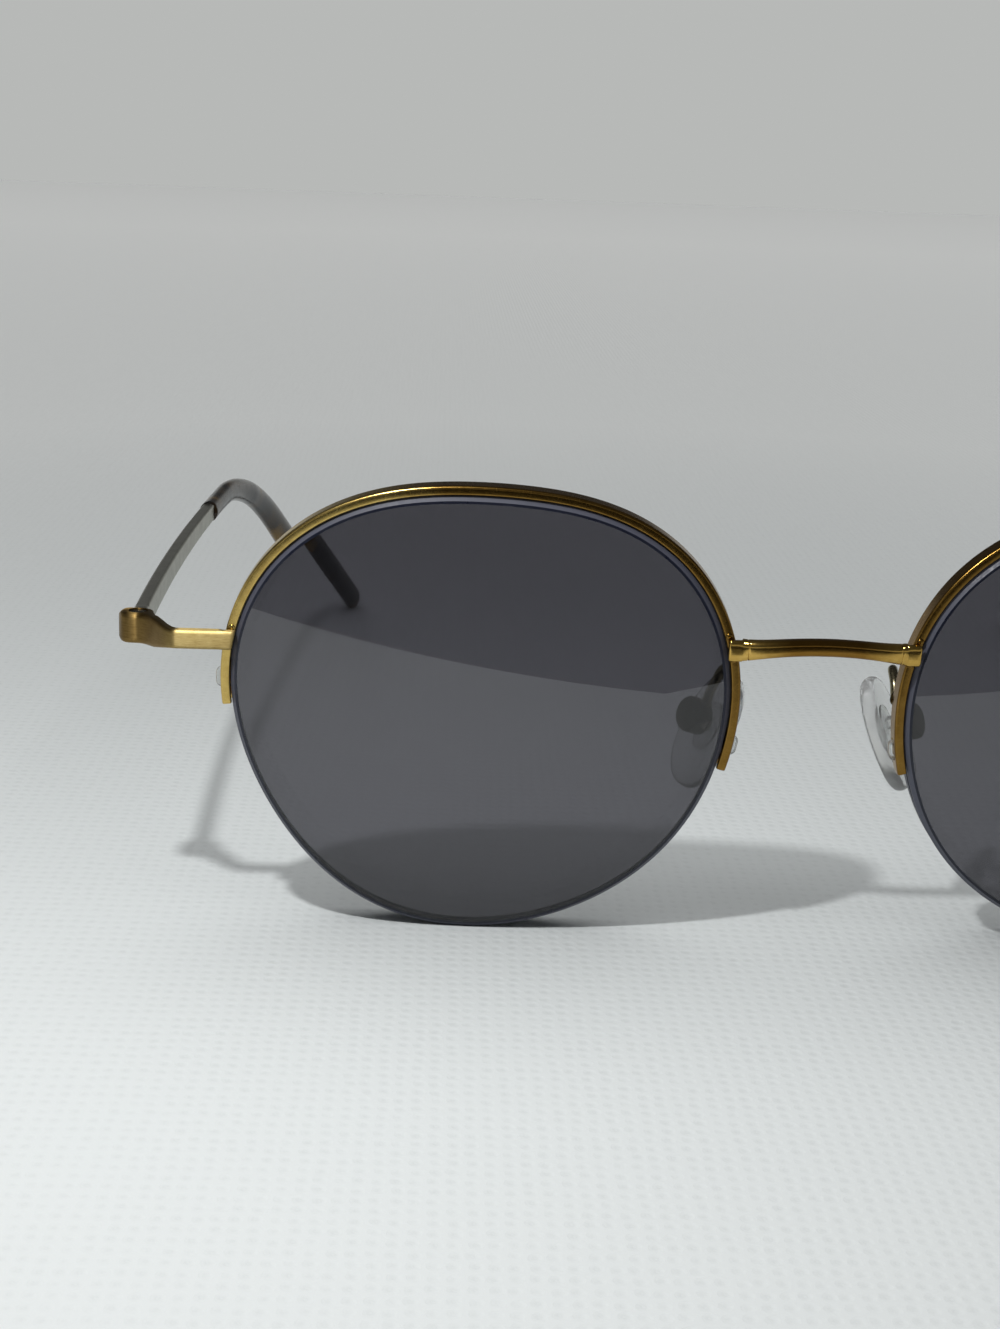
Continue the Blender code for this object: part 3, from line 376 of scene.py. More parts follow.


# The rim gold darkens toward the nose: painted shade for the dark reflections on that half, not patina.
antique_gold_painted_shade = brushed_metal("antique_gold_painted_shade", ((0.38, 0.24, 0.06), (0.61, 0.435, 0.135), (0.78, 0.59, 0.21)),
                             roughness=(0.20, 0.29), marks=(26.0, 1.4), patina=700, spreads=0.25,
                             painted_shade=(44.0, 38.0, (0.40, 0.32, 0.23)))
rim_half, channel_half, channel_floor = RIM_DEPTH / 2, CHANNEL_WIDTH / 2, RIM_GAP + CHANNEL_DEPTH
rim = outline_of([
    (RIM_GAP, -rim_half), (RIM_GAP, -channel_half), (channel_floor, -channel_half),
    (channel_floor, channel_half), (RIM_GAP, channel_half), (RIM_GAP, rim_half), (RIM_OUTER, rim_half),
    (RIM_OUTER, -rim_half),
], RIM_ROUNDING, 5, rounded=(6, 7))
lips = [v for v in rim.verts if abs(v.co.x - RIM_GAP) < 1e-4 and abs(abs(v.co.y) - rim_half) < 1e-4]
bmesh.ops.bevel(rim, geom=lips, offset=LIP_ROUNDING, segments=4, profile=0.5, affect="VERTICES", material=-1)
rim_angles = [RIM_START + (RIM_END - RIM_START) * step / RIM_STEPS for step in range(RIM_STEPS + 1)]
rim = draw_wire(rim, [edge_place(angle) for angle in rim_angles], end_rounding=0.09)
nasal_holes = [RIM_START + turn_for(RIM_START, HOLE_FROM_END + step) for step in (0, HOLE_SPACING)]
temporal_holes = [RIM_END - turn_for(RIM_END, HOLE_FROM_END + step) for step in (0, HOLE_SPACING)]
# A countersink keeps the drilled edge from cutting the cord. It is cut together with the hole, because a
# second cut through the same edges sometimes leaves a gap.
drill_steps = [(RIM_GAP, HOLE_RADIUS), (RIM_OUTER - SINK_DEPTH, HOLE_RADIUS),
               (RIM_OUTER + SINK_DEPTH, HOLE_RADIUS + SINK_FLARE)]
for angle in nasal_holes + temporal_holes:
    drill = blank_form("along", "around")
    bmesh.ops.create_circle(drill, segments=HOLE_SIDES, radius=1)
    outward = beside_lens(angle, RIM_OUTER) - beside_lens(angle, RIM_GAP)
    rim = cut(rim, draw_wire(drill, [facing(beside_lens(angle, out), outward) @ Matrix.Scale(radius, 4)
                                     for out, radius in drill_steps]))
finish("rim_wire", rim, [antique_gold_painted_shade], stands_for="rim")

# Bridge. A nickel silver bar, arched between the lenses, with a rounded block at each end that laps over the
# front of its rim and is brazed there. Plated with the rims, but polished brighter. A seam marks where each
# block starts.
BRIDGE_ANGLE = 18.0
BRIDGE_HEIGHT, BRIDGE_END_HEIGHT, BRIDGE_DEPTH = 1.72, 2.2, 1.5
BRIDGE_RISE, BRIDGE_FORWARD, BRIDGE_DROP = 0.7, 0.6, 0.14
BRIDGE_STEPS, BRIDGE_ROUNDING = 24, 0.38
LAP_THICKNESS, LAP_GAP, LAP_STEP = 0.9, 0.12, 0.15
SEAM_WIDTH, SEAM_DEPTH, SEAM_FROM_LAP = 0.16, 0.06, 0.5


def front_place(x, depth, height):
    """From the tilted plane of the whole front to the glasses."""
    return Vector((x, depth * math.cos(TILT) - height * math.sin(TILT),
                   depth * math.sin(TILT) + height * math.cos(TILT) + LENS_Z))


def edge_x(angle, rise, out):
    """X beside the lens edge, at a height above the place of an angle."""
    turn = math.degrees(rise / math.hypot(*lens_edge(angle)))
    return beside_lens(angle + math.copysign(turn, rise * (90 - angle)), out).x


def mix(start, end, share):
    """The value at a share of the way between two."""
    return start + (end - start) * share


def rectangle(width, height, rounding, segments):
    """An outline with four rounded corners."""
    x, y = width / 2, height / 2
    return outline_of([(-x, -y), (x, -y), (x, y), (-x, y)], rounding, segments)


seat = beside_lens(BRIDGE_ANGLE, RIM_OUTER / 2, -RIM_DEPTH / 2)
seat_depth = seat.y * math.cos(TILT) + (seat.z - LENS_Z) * math.sin(TILT)
seat_height = (seat.z - LENS_Z) * math.cos(TILT) - seat.y * math.sin(TILT)
bridge_top = BRIDGE_END_HEIGHT / 2
lap_start = min(edge_x(BRIDGE_ANGLE, rise, RIM_OUTER) for rise in (-bridge_top, 0, bridge_top)) - 2 * LAP_GAP
lap_end = edge_x(BRIDGE_ANGLE, 0, RIM_GAP)
lap_face = seat_depth - LAP_GAP


def bridge_section(x):
    """Front, back, height and middle level of the bridge at a distance from its middle."""
    share = min(abs(x) / lap_start, 1)
    near = lap_face - LAP_THICKNESS - BRIDGE_FORWARD * (1 - share ** 6)
    far = near + BRIDGE_DEPTH if abs(x) <= lap_start else lap_face
    level = seat_height - BRIDGE_DROP + BRIDGE_RISE * (1 - share * share)
    return near, far, mix(BRIDGE_HEIGHT, BRIDGE_END_HEIGHT, share ** 4), level


seam = lap_start - SEAM_FROM_LAP
stations = [x * lap_start / BRIDGE_STEPS for x in range(-BRIDGE_STEPS, BRIDGE_STEPS + 1)]
stations = sorted(
    [x for x in stations if abs(abs(x) - seam) > SEAM_WIDTH]
    + [side * (seam + offset) for side in (-1, 1) for offset in (-SEAM_WIDTH / 2, 0, SEAM_WIDTH / 2)]
    + [side * mix(lap_start + LAP_STEP, lap_end, share) for side in (-1, 1) for share in (0, 0.3, 0.6, 1)]
)
back = (front_place(0, 1, 0) - front_place(0, 0, 0)).normalized()
rise = (front_place(0, 0, 1) - front_place(0, 0, 0)).normalized()
bridge_places = []
for x in stations:
    near, far, height, level = bridge_section(x)
    pinch = SEAM_DEPTH if abs(abs(x) - seam) < 1e-6 else 0
    bridge_places.append(placed(front_place(x, (near + far) / 2, level), back * (far - near - 2 * pinch),
                                rise * (height - 2 * pinch), back.cross(rise)))
bridge = draw_wire(rectangle(1, 1, BRIDGE_ROUNDING, 8), bridge_places, end_rounding=0.4)
# The middle of the bar is painted darker: painted shade for the dark reflection there, not patina.
bridge_gold_painted_shade = brushed_metal("bridge_gold_painted_shade", ((0.50, 0.31, 0.07), (0.62, 0.40, 0.10), (0.72, 0.49, 0.15)),
                            roughness=(0.15, 0.21), marks=(2.0, 9.0), patina=500, depth=0.0000003,
                            painted_shade=(7.0, 3.5, (0.42, 0.34, 0.26)))
finish("bridge_bar", bridge, [bridge_gold_painted_shade], stands_for="bridge", both=False)

# Pad arms. Round nickel silver wire bent to a gooseneck, its foot brazed to the back of the rim with a small
# fillet and its other end to the top of the pad box. The plating is thin and dull here.


def round_outline(width, height, sides):
    """A closed oval outline."""
    form = blank_form("along", "around")
    bmesh.ops.create_circle(form, segments=sides, radius=0.5)
    bmesh.ops.scale(form, vec=(width, height, 1), verts=form.verts)
    return form


def run_places(path, upright, sizes=None):
    """Places square to a path, with a width and a height for the section at each."""
    places = []
    for index, point in enumerate(path):
        run = (path[min(index + 1, len(path) - 1)] - path[max(index - 1, 0)]).normalized()
        rise = (upright - run * upright.dot(run)).normalized()
        width, height = sizes[index] if sizes else (1, 1)
        places.append(placed(point, rise.cross(run) * width, rise * height, run))
    return places


def curve_through(knots, cuts):
    """A smooth curve through knots, each stretch between two cut into short runs."""
    curve = []
    for index in range(len(knots) - 1):
        before, start, end = knots[max(index - 1, 0)], knots[index], knots[index + 1]
        after = knots[min(index + 2, len(knots) - 1)]
        leaving, arriving = start + (end - before) / 6, end - (after - start) / 6
        curve += interpolate_bezier(start, leaving, arriving, end, cuts + 1)[:-1]
    return curve + [knots[-1]]


WIRE_DIAMETER, WIRE_ANGLE, WIRE_SIDES = 1.0, 5.0, 20
WIRE_FOOT, WIRE_RISE, WIRE_AHEAD, WIRE_ABOVE, WIRE_SUNK = 0.2, 2.2, 0.76, 0.1, 0.35
WIRE_BENDS = ((0, 0.1, 0.04), (0, 0.24, 0.62), (0.03, 0.5, 1), (0.3, 0.76, 0.72), (0.68, 0.92, -0.15))
FILLET_GROWTH, FILLET_LIMIT, FILLET_LENGTH, FILLET_FROM_END = 0.55, 1.5, 0.16, 0.3
BOX_OUT, BOX_BACKWARD, BOX_DROP = 2.85, 6.8, 4.1
BOX_DIAMETER, BOX_DEPTH, BOX_FLOOR, BOX_MIDDLE = 3.8, 2.0, 0.35, 0.1
PAD_SPLAY, PAD_FLARE = math.radians(28), math.radians(23)
pad_flare = Matrix.Rotation(-PAD_FLARE, 3, "Y")
PAD_UP = pad_flare @ Vector((0, 0, 1))
PAD_BACK = pad_flare @ Vector((math.sin(PAD_SPLAY), math.cos(PAD_SPLAY), 0))
PAD_OUT = pad_flare @ Vector((math.cos(PAD_SPLAY), -math.sin(PAD_SPLAY), 0))
PAD_AXES = (PAD_UP, PAD_BACK, PAD_OUT)
wire_seat = beside_lens(WIRE_ANGLE, RIM_OUTER / 2, RIM_DEPTH / 2)
pad_axis = wire_seat + Vector((BOX_OUT, BOX_BACKWARD, -BOX_DROP))


def pad_place(up, back, out):
    """From the middle of the pad screw, along the pad's own axes, to the glasses."""
    return pad_axis + PAD_UP * up + PAD_BACK * back + PAD_OUT * out


box_radius = BOX_DIAMETER / 2
wire_start = wire_seat + Vector((0, WIRE_FOOT, 0))
wire_end = pad_place(box_radius + WIRE_ABOVE, -WIRE_AHEAD, BOX_MIDDLE)
wire_run = wire_end - wire_start
wire_knots = [wire_seat, wire_start] + [
    wire_start + Vector((wire_run.x * out, wire_run.y * back, WIRE_RISE * up)) for out, back, up in WIRE_BENDS
] + [wire_end, pad_place(box_radius - WIRE_SUNK, -WIRE_AHEAD, BOX_MIDDLE)]
wire_path = curve_through(wire_knots, cuts=9)
wire_lengths = [0.0]
for before, after in zip(wire_path, wire_path[1:]):
    wire_lengths.append(wire_lengths[-1] + (after - before).length)
wire_sizes = []
for reach in wire_lengths:
    from_joint = min(reach, wire_lengths[-1] - reach - FILLET_FROM_END)
    growth = min(1 + FILLET_GROWTH * math.exp(-from_joint / FILLET_LENGTH), FILLET_LIMIT)
    wire_sizes.append((WIRE_DIAMETER * growth, WIRE_DIAMETER * growth))
gooseneck = draw_wire(round_outline(1, 1, WIRE_SIDES), run_places(wire_path, Vector((1, 0, 0)), wire_sizes))
olive_bronze = brushed_metal("olive_bronze", ((0.16, 0.14, 0.08), (0.27, 0.24, 0.15), (0.40, 0.36, 0.24)),
                             roughness=(0.2, 0.32), marks=(4.0, 4.0), patina=900, depth=0.000001)
finish("gooseneck", gooseneck, [olive_bronze], stands_for="pad_arm")

# Pad boxes. A round cup turned from nickel silver and milled through, brazed to its pad arm with the open
# side to the pad. Oxidised darker than the rims, because plating reaches it last.


def brick(centre, axes, sizes):
    """A square-cornered block on its own three axes."""
    form = blank_form()
    place = placed(centre, *(axis * size for axis, size in zip(axes, sizes)))
    bmesh.ops.create_cube(form, size=1, matrix=place)
    bmesh.ops.recalc_face_normals(form, faces=form.faces)
    return form


def turned(start, axis, profile, sides=40):
    """A form turned on a lathe, from (length, radius) points that start and end on the axis."""
    form = blank_form()
    points = [form.verts.new((radius, 0, length)) for length, radius in profile]
    edges = [form.edges.new(pair) for pair in zip(points, points[1:])]
    bmesh.ops.spin(form, geom=points + edges, cent=(0, 0, 0), axis=(0, 0, 1), angle=2 * math.pi, steps=sides,
                   use_merge=True)
    bmesh.ops.remove_doubles(form, verts=form.verts, dist=1e-5)
    bmesh.ops.recalc_face_normals(form, faces=form.faces)
    bmesh.ops.transform(form, matrix=facing(start, axis), verts=form.verts)
    return form


def bore(form, middle, axis, reach, radius, sides):
    """Bores a form along an axis, as far to both sides of a point."""
    return cut(form, pin(middle - axis * reach, middle + axis * reach, radius, sides))


LUG_WIDTH, SLIDE_GAP = 1.2, 0.1
PAD_SCREW_DIAMETER, SCREW_GAP = 0.8, 0.05
dark_bronze = brushed_metal("dark_bronze", ((0.03, 0.025, 0.018), (0.07, 0.06, 0.04), (0.15, 0.12, 0.08)),
                            roughness=(0.24, 0.4), marks=(6.0, 6.0), patina=900, depth=0.000002)
cup = turned(pad_place(0, 0, BOX_MIDDLE - BOX_DEPTH / 2), PAD_OUT, [
    (0, 0), (0, 1.72), (0.05, 1.84), (0.16, box_radius), (1.62, box_radius), (1.78, 1.83), (1.9, 1.68),
    (1.97, 1.45), (BOX_DEPTH, 0.9), (BOX_DEPTH + 0.02, 0),
])
slot_depth = BOX_DEPTH - BOX_FLOOR + CUT_BEYOND
slot_middle = BOX_MIDDLE - BOX_DEPTH / 2 - CUT_BEYOND + slot_depth / 2
cup = cut(cup, brick(pad_place(0, 0, slot_middle), PAD_AXES,
                     (BOX_DIAMETER + 2 * CUT_BEYOND, LUG_WIDTH + 2 * SLIDE_GAP, slot_depth)))
cup = bore(cup, pad_axis, PAD_BACK, reach=3, radius=PAD_SCREW_DIAMETER / 2 + SCREW_GAP, sides=20)
finish("pad_cup", cup, [dark_bronze], stands_for="pad_box", bevel=0.05)

# Pad screws. A cheese-headed screw of blued steel through the walls of the cup and the pad's lug, so that the
# pad rocks on it. The slotted head faces the front, and the end is peened over at the back.
PAD_HEAD_THICKNESS, PAD_HEAD_RADIUS, PAD_SCREW_SLOT = 0.35, 0.6, (2, 0.36, 0.22)
blued_steel = brushed_metal("screw_steel", ((0.14, 0.12, 0.09), (0.26, 0.23, 0.18), (0.42, 0.38, 0.30)),
                            roughness=(0.2, 0.36), marks=(5.0, 5.0), patina=1100, depth=0.000001)
box_reach = box_radius + SLIDE_GAP
pad_head = pad_place(0, -box_reach - PAD_HEAD_THICKNESS, 0)
pad_screw = turned(pad_head, PAD_BACK, [
    (0, 0), (0, 0.5), (0.03, 0.57), (0.09, PAD_HEAD_RADIUS), (PAD_HEAD_THICKNESS, PAD_HEAD_RADIUS),
    (PAD_HEAD_THICKNESS, PAD_SCREW_DIAMETER / 2), (2 * box_reach + 0.28, PAD_SCREW_DIAMETER / 2),
    (2 * box_reach + 0.34, 0.3), (2 * box_reach + 0.36, 0),
], sides=28)
pad_screw = cut(pad_screw, brick(pad_head, PAD_AXES, PAD_SCREW_SLOT))
finish("pad_pin", pad_screw, [blued_steel], stands_for="pad_screw", bevel=0.02)

# Endpieces. A flat bar brazed over the front of the rim, which swings back and grows into the hinge block.
# The block is milled through for the temple's knuckle and bored from the top for the hinge screw.
ENDPIECE_ANGLE = 165.0
BAR_HEIGHT, BAR_DEPTH = 1.9, 1.35
HINGE_OUT, HINGE_BACK = 9.6, 4.3
BLOCK_WIDTH, BLOCK_DEPTH, BLOCK_HEIGHT = 3.9, 3.2, 3.15
BLOCK_FLAT_SHARE, BLOCK_TAPER, BLOCK_CROWN, BLOCK_ROUNDING = 0.35, 0.35, 0.45, 0.2
SWING_START, SWING_LENGTH, NECK_LENGTH = 4.35, 4.35, 3.0
GROWTH_START, GROWTH_LENGTH = 4.2, 3.0
BAR_STEPS, BLOCK_STEPS = 26, 16
KNUCKLE_DIAMETER, KNUCKLE_HEIGHT, KNUCKLE_NECK, KNUCKLE_GAP, SWING_GAP = 2.5, 1.1, 1.2, 0.1, 0.2
SCREW_DIAMETER, SCREW_HEAD, HEAD_THICKNESS, HEAD_SUNK = 1.0, 1.9, 0.45, 0.1
UP, OUT, BACK = Vector((0, 0, 1)), Vector((1, 0, 0)), Vector((0, 1, 0))
endpiece_seat = beside_lens(ENDPIECE_ANGLE, RIM_OUTER / 2, -RIM_DEPTH / 2)
HINGE = endpiece_seat + Vector((HINGE_OUT, HINGE_BACK, 0))
bar_face = endpiece_seat.y - LAP_GAP - LAP_THICKNESS
ear = BLOCK_DEPTH / 2


def smooth(value):
    """Smooth step from 0 to 1."""
    value = min(max(value, 0.0), 1.0)
    return value * value * (3 - 2 * value)


def drawn_in(x):
    """How much the outer end of the hinge block is drawn in, at a distance outward of the hinge."""
    flat = BLOCK_WIDTH / 2 * BLOCK_FLAT_SHARE
    share = min(max((x - flat) / (BLOCK_WIDTH / 2 - flat), 0), 0.97)
    return 1 - math.sqrt(1 - share ** 3)


def endpiece_size(x):
    """Front, back and half height of the endpiece at a distance outward of the hinge."""
    front = mix(bar_face, HINGE.y - ear, smooth((x + SWING_START) / SWING_LENGTH)) + ear * drawn_in(x)
    front += BLOCK_CROWN * max(x / (BLOCK_WIDTH / 2), 0) ** 2
    if x > -ear:
        rear = HINGE.y + math.sqrt(max(ear * ear - min(x, 0) ** 2, 0)) - ear * drawn_in(x)
    else:
        beside_knuckle = HINGE.y - KNUCKLE_NECK / 2 - SWING_GAP - KNUCKLE_GAP
        rear = mix(bar_face + BAR_DEPTH, beside_knuckle, smooth((x + ear + NECK_LENGTH) / NECK_LENGTH))
    grown = smooth((x + GROWTH_START) / GROWTH_LENGTH)
    return front, rear, mix(BAR_HEIGHT, BLOCK_HEIGHT, grown) / 2 * (1 - BLOCK_TAPER * drawn_in(x))


def endpiece_place(x, lean=0.0, rear=None):
    """Place of the endpiece's section, its upright side leaned out to follow the rim."""
    front, back, half_height = endpiece_size(x)
    back = back if rear is None else rear
    return placed(Vector((HINGE.x + x, (front + back) / 2, HINGE.z)), BACK * (back - front),
                  UP * 2 * half_height + OUT * lean, OUT)


bar_top = BAR_HEIGHT / 2
bar_lean = edge_x(ENDPIECE_ANGLE, bar_top, RIM_GAP) - edge_x(ENDPIECE_ANGLE, -bar_top, RIM_GAP)
bar_start = edge_x(ENDPIECE_ANGLE, 0, RIM_GAP) - HINGE.x
bar_clear = max(edge_x(ENDPIECE_ANGLE, rise, RIM_OUTER) for rise in (-bar_top, 0, bar_top)) - HINGE.x
endpiece_places = [endpiece_place(mix(bar_start, bar_clear, share), bar_lean * (1 - share), endpiece_seat.y)
                   for share in (0, 0.3, 0.6, 0.95)]
stations = [mix(bar_clear, -ear, step / BAR_STEPS) for step in range(1, BAR_STEPS + 1)]
stations += [-ear * math.cos(math.radians(turn)) for turn in range(9, 91, 9)]
stations += [BLOCK_WIDTH / 2 * step / BLOCK_STEPS for step in range(1, BLOCK_STEPS + 1)]
endpiece_places += [endpiece_place(x) for x in stations]
endpiece = draw_wire(rectangle(1, 1, BLOCK_ROUNDING, 6), endpiece_places, end_rounding=BLOCK_ROUNDING)
slot = KNUCKLE_HEIGHT + 2 * KNUCKLE_GAP
swing = KNUCKLE_NECK / 2 + SWING_GAP
endpiece = bore(endpiece, HINGE, UP, reach=slot / 2, radius=KNUCKLE_DIAMETER / 2 + KNUCKLE_GAP, sides=40)
endpiece = cut(endpiece, brick(HINGE + Vector((swing - BLOCK_WIDTH / 2, BLOCK_WIDTH / 2 - swing, 0)),
                               (OUT, BACK, UP), (BLOCK_WIDTH, BLOCK_WIDTH, slot)))
endpiece = bore(endpiece, HINGE, UP, reach=3, radius=SCREW_DIAMETER / 2 + SCREW_GAP, sides=32)
endpiece = cut(endpiece, pin(HINGE + UP * (BLOCK_HEIGHT / 2 - HEAD_THICKNESS - HEAD_SUNK), HINGE + UP * 3,
                             SCREW_HEAD / 2 + SCREW_GAP, sides=40))
# The neck and hinge block are painted darker than the bar: painted shade for the dark reflections there.
endpiece_gold_painted_shade = brushed_metal("endpiece_gold_painted_shade",
                              ((0.28, 0.195, 0.07), (0.42, 0.315, 0.125), (0.53, 0.415, 0.19)),
                              roughness=(0.40, 0.50), marks=(1.0, 24.0), patina=600, spreads=0.9,
                              lengthwise=True, painted_shade=(64.0, 66.0, (0.62, 0.54, 0.46)))
finish("endpiece_bar", endpiece, [endpiece_gold_painted_shade], stands_for="endpiece", bevel=0.05)

# Hinge screws. Turned steel with a flat slotted head sunk in the top of the block. The foot shows at the
# bottom, flush with the block.
HINGE_SCREW_SLOT = (3, 0.3, 0.36)
head_top = BLOCK_HEIGHT / 2 - HEAD_SUNK
screw_length = BLOCK_HEIGHT - 2 * HEAD_SUNK
under_head = screw_length - HEAD_THICKNESS + SCREW_GAP
shank, head = SCREW_DIAMETER / 2, SCREW_HEAD / 2
hinge_screw = turned(HINGE - UP * head_top, UP, [
    (0, 0), (0, shank - 0.1), (0.1, shank), (under_head, shank), (under_head, head),
    (screw_length - 0.1, head), (screw_length - 0.03, head - 0.04), (screw_length, head - 0.12),
    (screw_length, 0),
])
hinge_screw = cut(hinge_screw, brick(HINGE + UP * head_top, (OUT, BACK, UP), HINGE_SCREW_SLOT))
finish("hinge_pin", hinge_screw, [blued_steel], stands_for="hinge_screw", bevel=0.03)

# Braze. The metal that flowed out of the joints on the front and set in small flat beads, plated over with
# the rest: two beside each bridge block and one above each endpiece bar.
BEAD_RADIUS, BEAD_FLATNESS = 0.33, 0.6
BEAD_PLACES = (
    (BRIDGE_ANGLE, BRIDGE_END_HEIGHT / 2 + 0.05),
    (BRIDGE_ANGLE, -BRIDGE_END_HEIGHT / 2 - 0.22),
    (ENDPIECE_ANGLE, -BAR_HEIGHT / 2 - 0.25),
)
beads = blank_form()
for joint, reach in BEAD_PLACES:
    angle = joint + turn_for(joint, reach)
    place = edge_place(angle, RIM_OUTER / 2)
    place.translation = beside_lens(angle, RIM_OUTER / 2, -RIM_DEPTH / 2)
    bmesh.ops.create_icosphere(beads, subdivisions=4, radius=BEAD_RADIUS,
                               matrix=place @ Matrix.Diagonal((1, BEAD_FLATNESS, 1, 1)))
finish("braze_beads", beads, [antique_gold_painted_shade], like="rim")

# Rim liners. A dark nylon strip pressed into each rim's channel, whose tongue stands in the lens groove. Its
# solid is right as it is.


def plastic(name, colour, roughness, scale, clear=0.0, index=1.5):
    """A moulded plastic, clear or not, whose gloss varies finely over the piece."""
    material, tree, shader = new_material(name, colour, roughness[0])
    place = add_node(tree, "ShaderNodeTexCoord").outputs["Object"]
    fill(tree, shader, {"Roughness": spread(tree, noise(tree, place, scale, 3.0), *roughness, 0.3, 0.7)})
    if clear:
        fill(tree, shader, {"Transmission Weight": clear, "IOR": index})
    return material


liner_nylon = plastic("nylon_liner", (0.03, 0.03, 0.032), (0.3, 0.5), 800.0)
for side in ("left", "right"):
    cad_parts[f"rim_liner_{side}"].material_slots[0].material = liner_nylon

# Lenses. Grey-tinted plastic, a shallow curve in front and a deeper one behind, thicker at the edge. The edge
# is ground matt with a groove all round. A dark line is painted where its front bevel meets the polished
# face: painted shade that stands in for the light the bevel bends away.
LENS_CENTRE, BACK_CURVE = 2.0, 112.0
BACK_CENTRE_NASAL, BACK_CENTRE_UP = 1.5, 4.2
FRONT_CHAMFER, BEVEL_SHADE_WIDTH, BACK_CHAMFER = 0.4, 0.26, 0.35
GROOVE_WIDTH, GROOVE_DEPTH = 0.66, 0.65
LENS_SIDES, FACE_ROWS, LAST_ROW = 180, 16, 0.962


def front_depth(x, z):
    """Depth of the front face at a point of the lens."""
    return bulge(math.hypot(x, z), FRONT_CURVE)


def back_depth(x, z):
    """Depth of the back face, whose deepest point lies above the middle and toward the nose."""
    return LENS_CENTRE + bulge(math.hypot(x - BACK_CENTRE_NASAL, z - BACK_CENTRE_UP), BACK_CURVE)


def face_row(share, depth):
    """Row of a lens face at a share of the way out from its middle."""
    def place(angle):
        x, z = (value * share for value in lens_edge(angle))
        return on_lens(x, z, depth(x, z))
    return place


def bevel_row(inward, depth):
    """Row of a lens face at a distance in from the edge."""
    def place(angle):
        x, z = lens_edge(angle, -inward)
        return on_lens(x, z, depth(x, z))
    return place


def edge_row(out, depth):
    """Row on the lens edge, behind the middle of the groove."""
    return lambda angle: beside_lens(angle, out, depth)


def back_land(angle):
    """Point where the lens edge meets its back bevel."""
    x, z = lens_edge(angle)
    return on_lens(x, z, back_depth(x, z) - BACK_CHAMFER)


FACE, GROUND, LINE = 0, 1, 2
shares = [step / FACE_ROWS for step in range(1, FACE_ROWS)] + [LAST_ROW]
lens_rows = [(FACE, face_row(share, front_depth)) for share in shares] + [
    (FACE, bevel_row(FRONT_CHAMFER + BEVEL_SHADE_WIDTH, front_depth)),
    (LINE, bevel_row(FRONT_CHAMFER, front_depth)),
    (GROUND, edge_row(0, FRONT_CHAMFER - GROOVE_SETBACK)),
    (GROUND, edge_row(0, -GROOVE_WIDTH / 2)),
    (GROUND, edge_row(-GROOVE_DEPTH, -GROOVE_WIDTH / 2)),
    (GROUND, edge_row(-GROOVE_DEPTH, GROOVE_WIDTH / 2)),
    (GROUND, edge_row(0, GROOVE_WIDTH / 2)),
    (GROUND, back_land),
    (GROUND, bevel_row(BACK_CHAMFER, back_depth)),
] + [(FACE, face_row(share, back_depth)) for share in reversed(shares)]

lens = blank_form("turn")
turn_layer = lens.verts.layers.float["turn"]
bmesh.ops.create_circle(lens, cap_ends=True, cap_tris=True, segments=LENS_SIDES, radius=1)
middle = next(vertex for vertex in lens.verts if len(vertex.link_edges) > 4)
for vertex in lens.verts:
    if vertex != middle:
        vertex[turn_layer] = math.degrees(math.atan2(vertex.co.y, vertex.co.x)) % 360
        vertex.co = lens_rows[0][1](vertex[turn_layer])
middle.co = on_lens(0, 0, 0)
edges = [edge for edge in lens.edges if middle not in edge.verts]
for surface, row in lens_rows[1:]:
    ring, edges = next_ring(lens, edges)
    for vertex in ring:
        vertex.co = row(vertex[turn_layer])
    for edge in edges:
        edge.link_faces[0].material_index = surface
last = bmesh.ops.edgeloop_fill(lens, edges=edges)["faces"]
middle = bmesh.ops.poke(lens, faces=last)["verts"][0]
middle.co = on_lens(0, 0, back_depth(0, 0))
bmesh.ops.recalc_face_normals(lens, faces=lens.faces)
grey_lens = plastic("grey_lens", (0.117, 0.114, 0.131), (0.0, 0.04), 90.0, clear=1, index=1.6)
ground_edge = plastic("ground_edge", (0.07, 0.074, 0.10), (0.4, 0.6), 3000.0)
# A thin dark row beside the front bevel: painted shade for the bevel's refraction, not a real mark.
painted_bevel_shade = plastic("painted_bevel_shade", (0.006, 0.008, 0.020), (0.25, 0.4), 900.0)
finish("lens_glass", lens, [grey_lens, ground_edge, painted_bevel_shade], stands_for="lens", sharp=25, weighted=False)

# Lens cords. Clear nylon line, stretched round the lower edge of the lens in its groove. Each end goes out
# through the first hole of the rim, over in a small loop and in through the second, where friction holds it.
CORD_DIAMETER, CORD_BEND, CORD_TAIL, CORD_CLEARANCE, CORD_SIDES = 0.5, 0.4, 0.3, 0.05, 14
CORD_STEPS = 80
cord_sunk = CORD_DIAMETER / 2 - GROOVE_DEPTH + CORD_CLEARANCE
cord_outside = RIM_OUTER + CORD_CLEARANCE + CORD_DIAMETER / 2


def evenly(start, end, steps):
    """Values from start to end in even steps."""
    return [mix(start, end, step / steps) for step in range(steps + 1)]


def threaded(first, second, sense):
    """Angles and distances out, from the groove out of the first hole, over the rim and in at the second."""
    route = []
    for arc in range(70, -1, -10):
        turn = math.radians(arc)
        route.append((first - sense * turn_for(first, CORD_BEND * (1 - math.cos(turn))),
                      cord_sunk + CORD_BEND * (1 - math.sin(turn))))
    for hole, direction, arcs in ((first, sense, range(0, 91, 10)), (second, -sense, range(90, -1, -10))):
        for arc in arcs:
            turn = math.radians(arc)
            route.append((hole + direction * turn_for(hole, CORD_BEND * (1 - math.cos(turn))),
                          cord_outside - CORD_BEND + CORD_BEND * math.sin(turn)))
    return route + [(second, channel_floor - CORD_TAIL)]


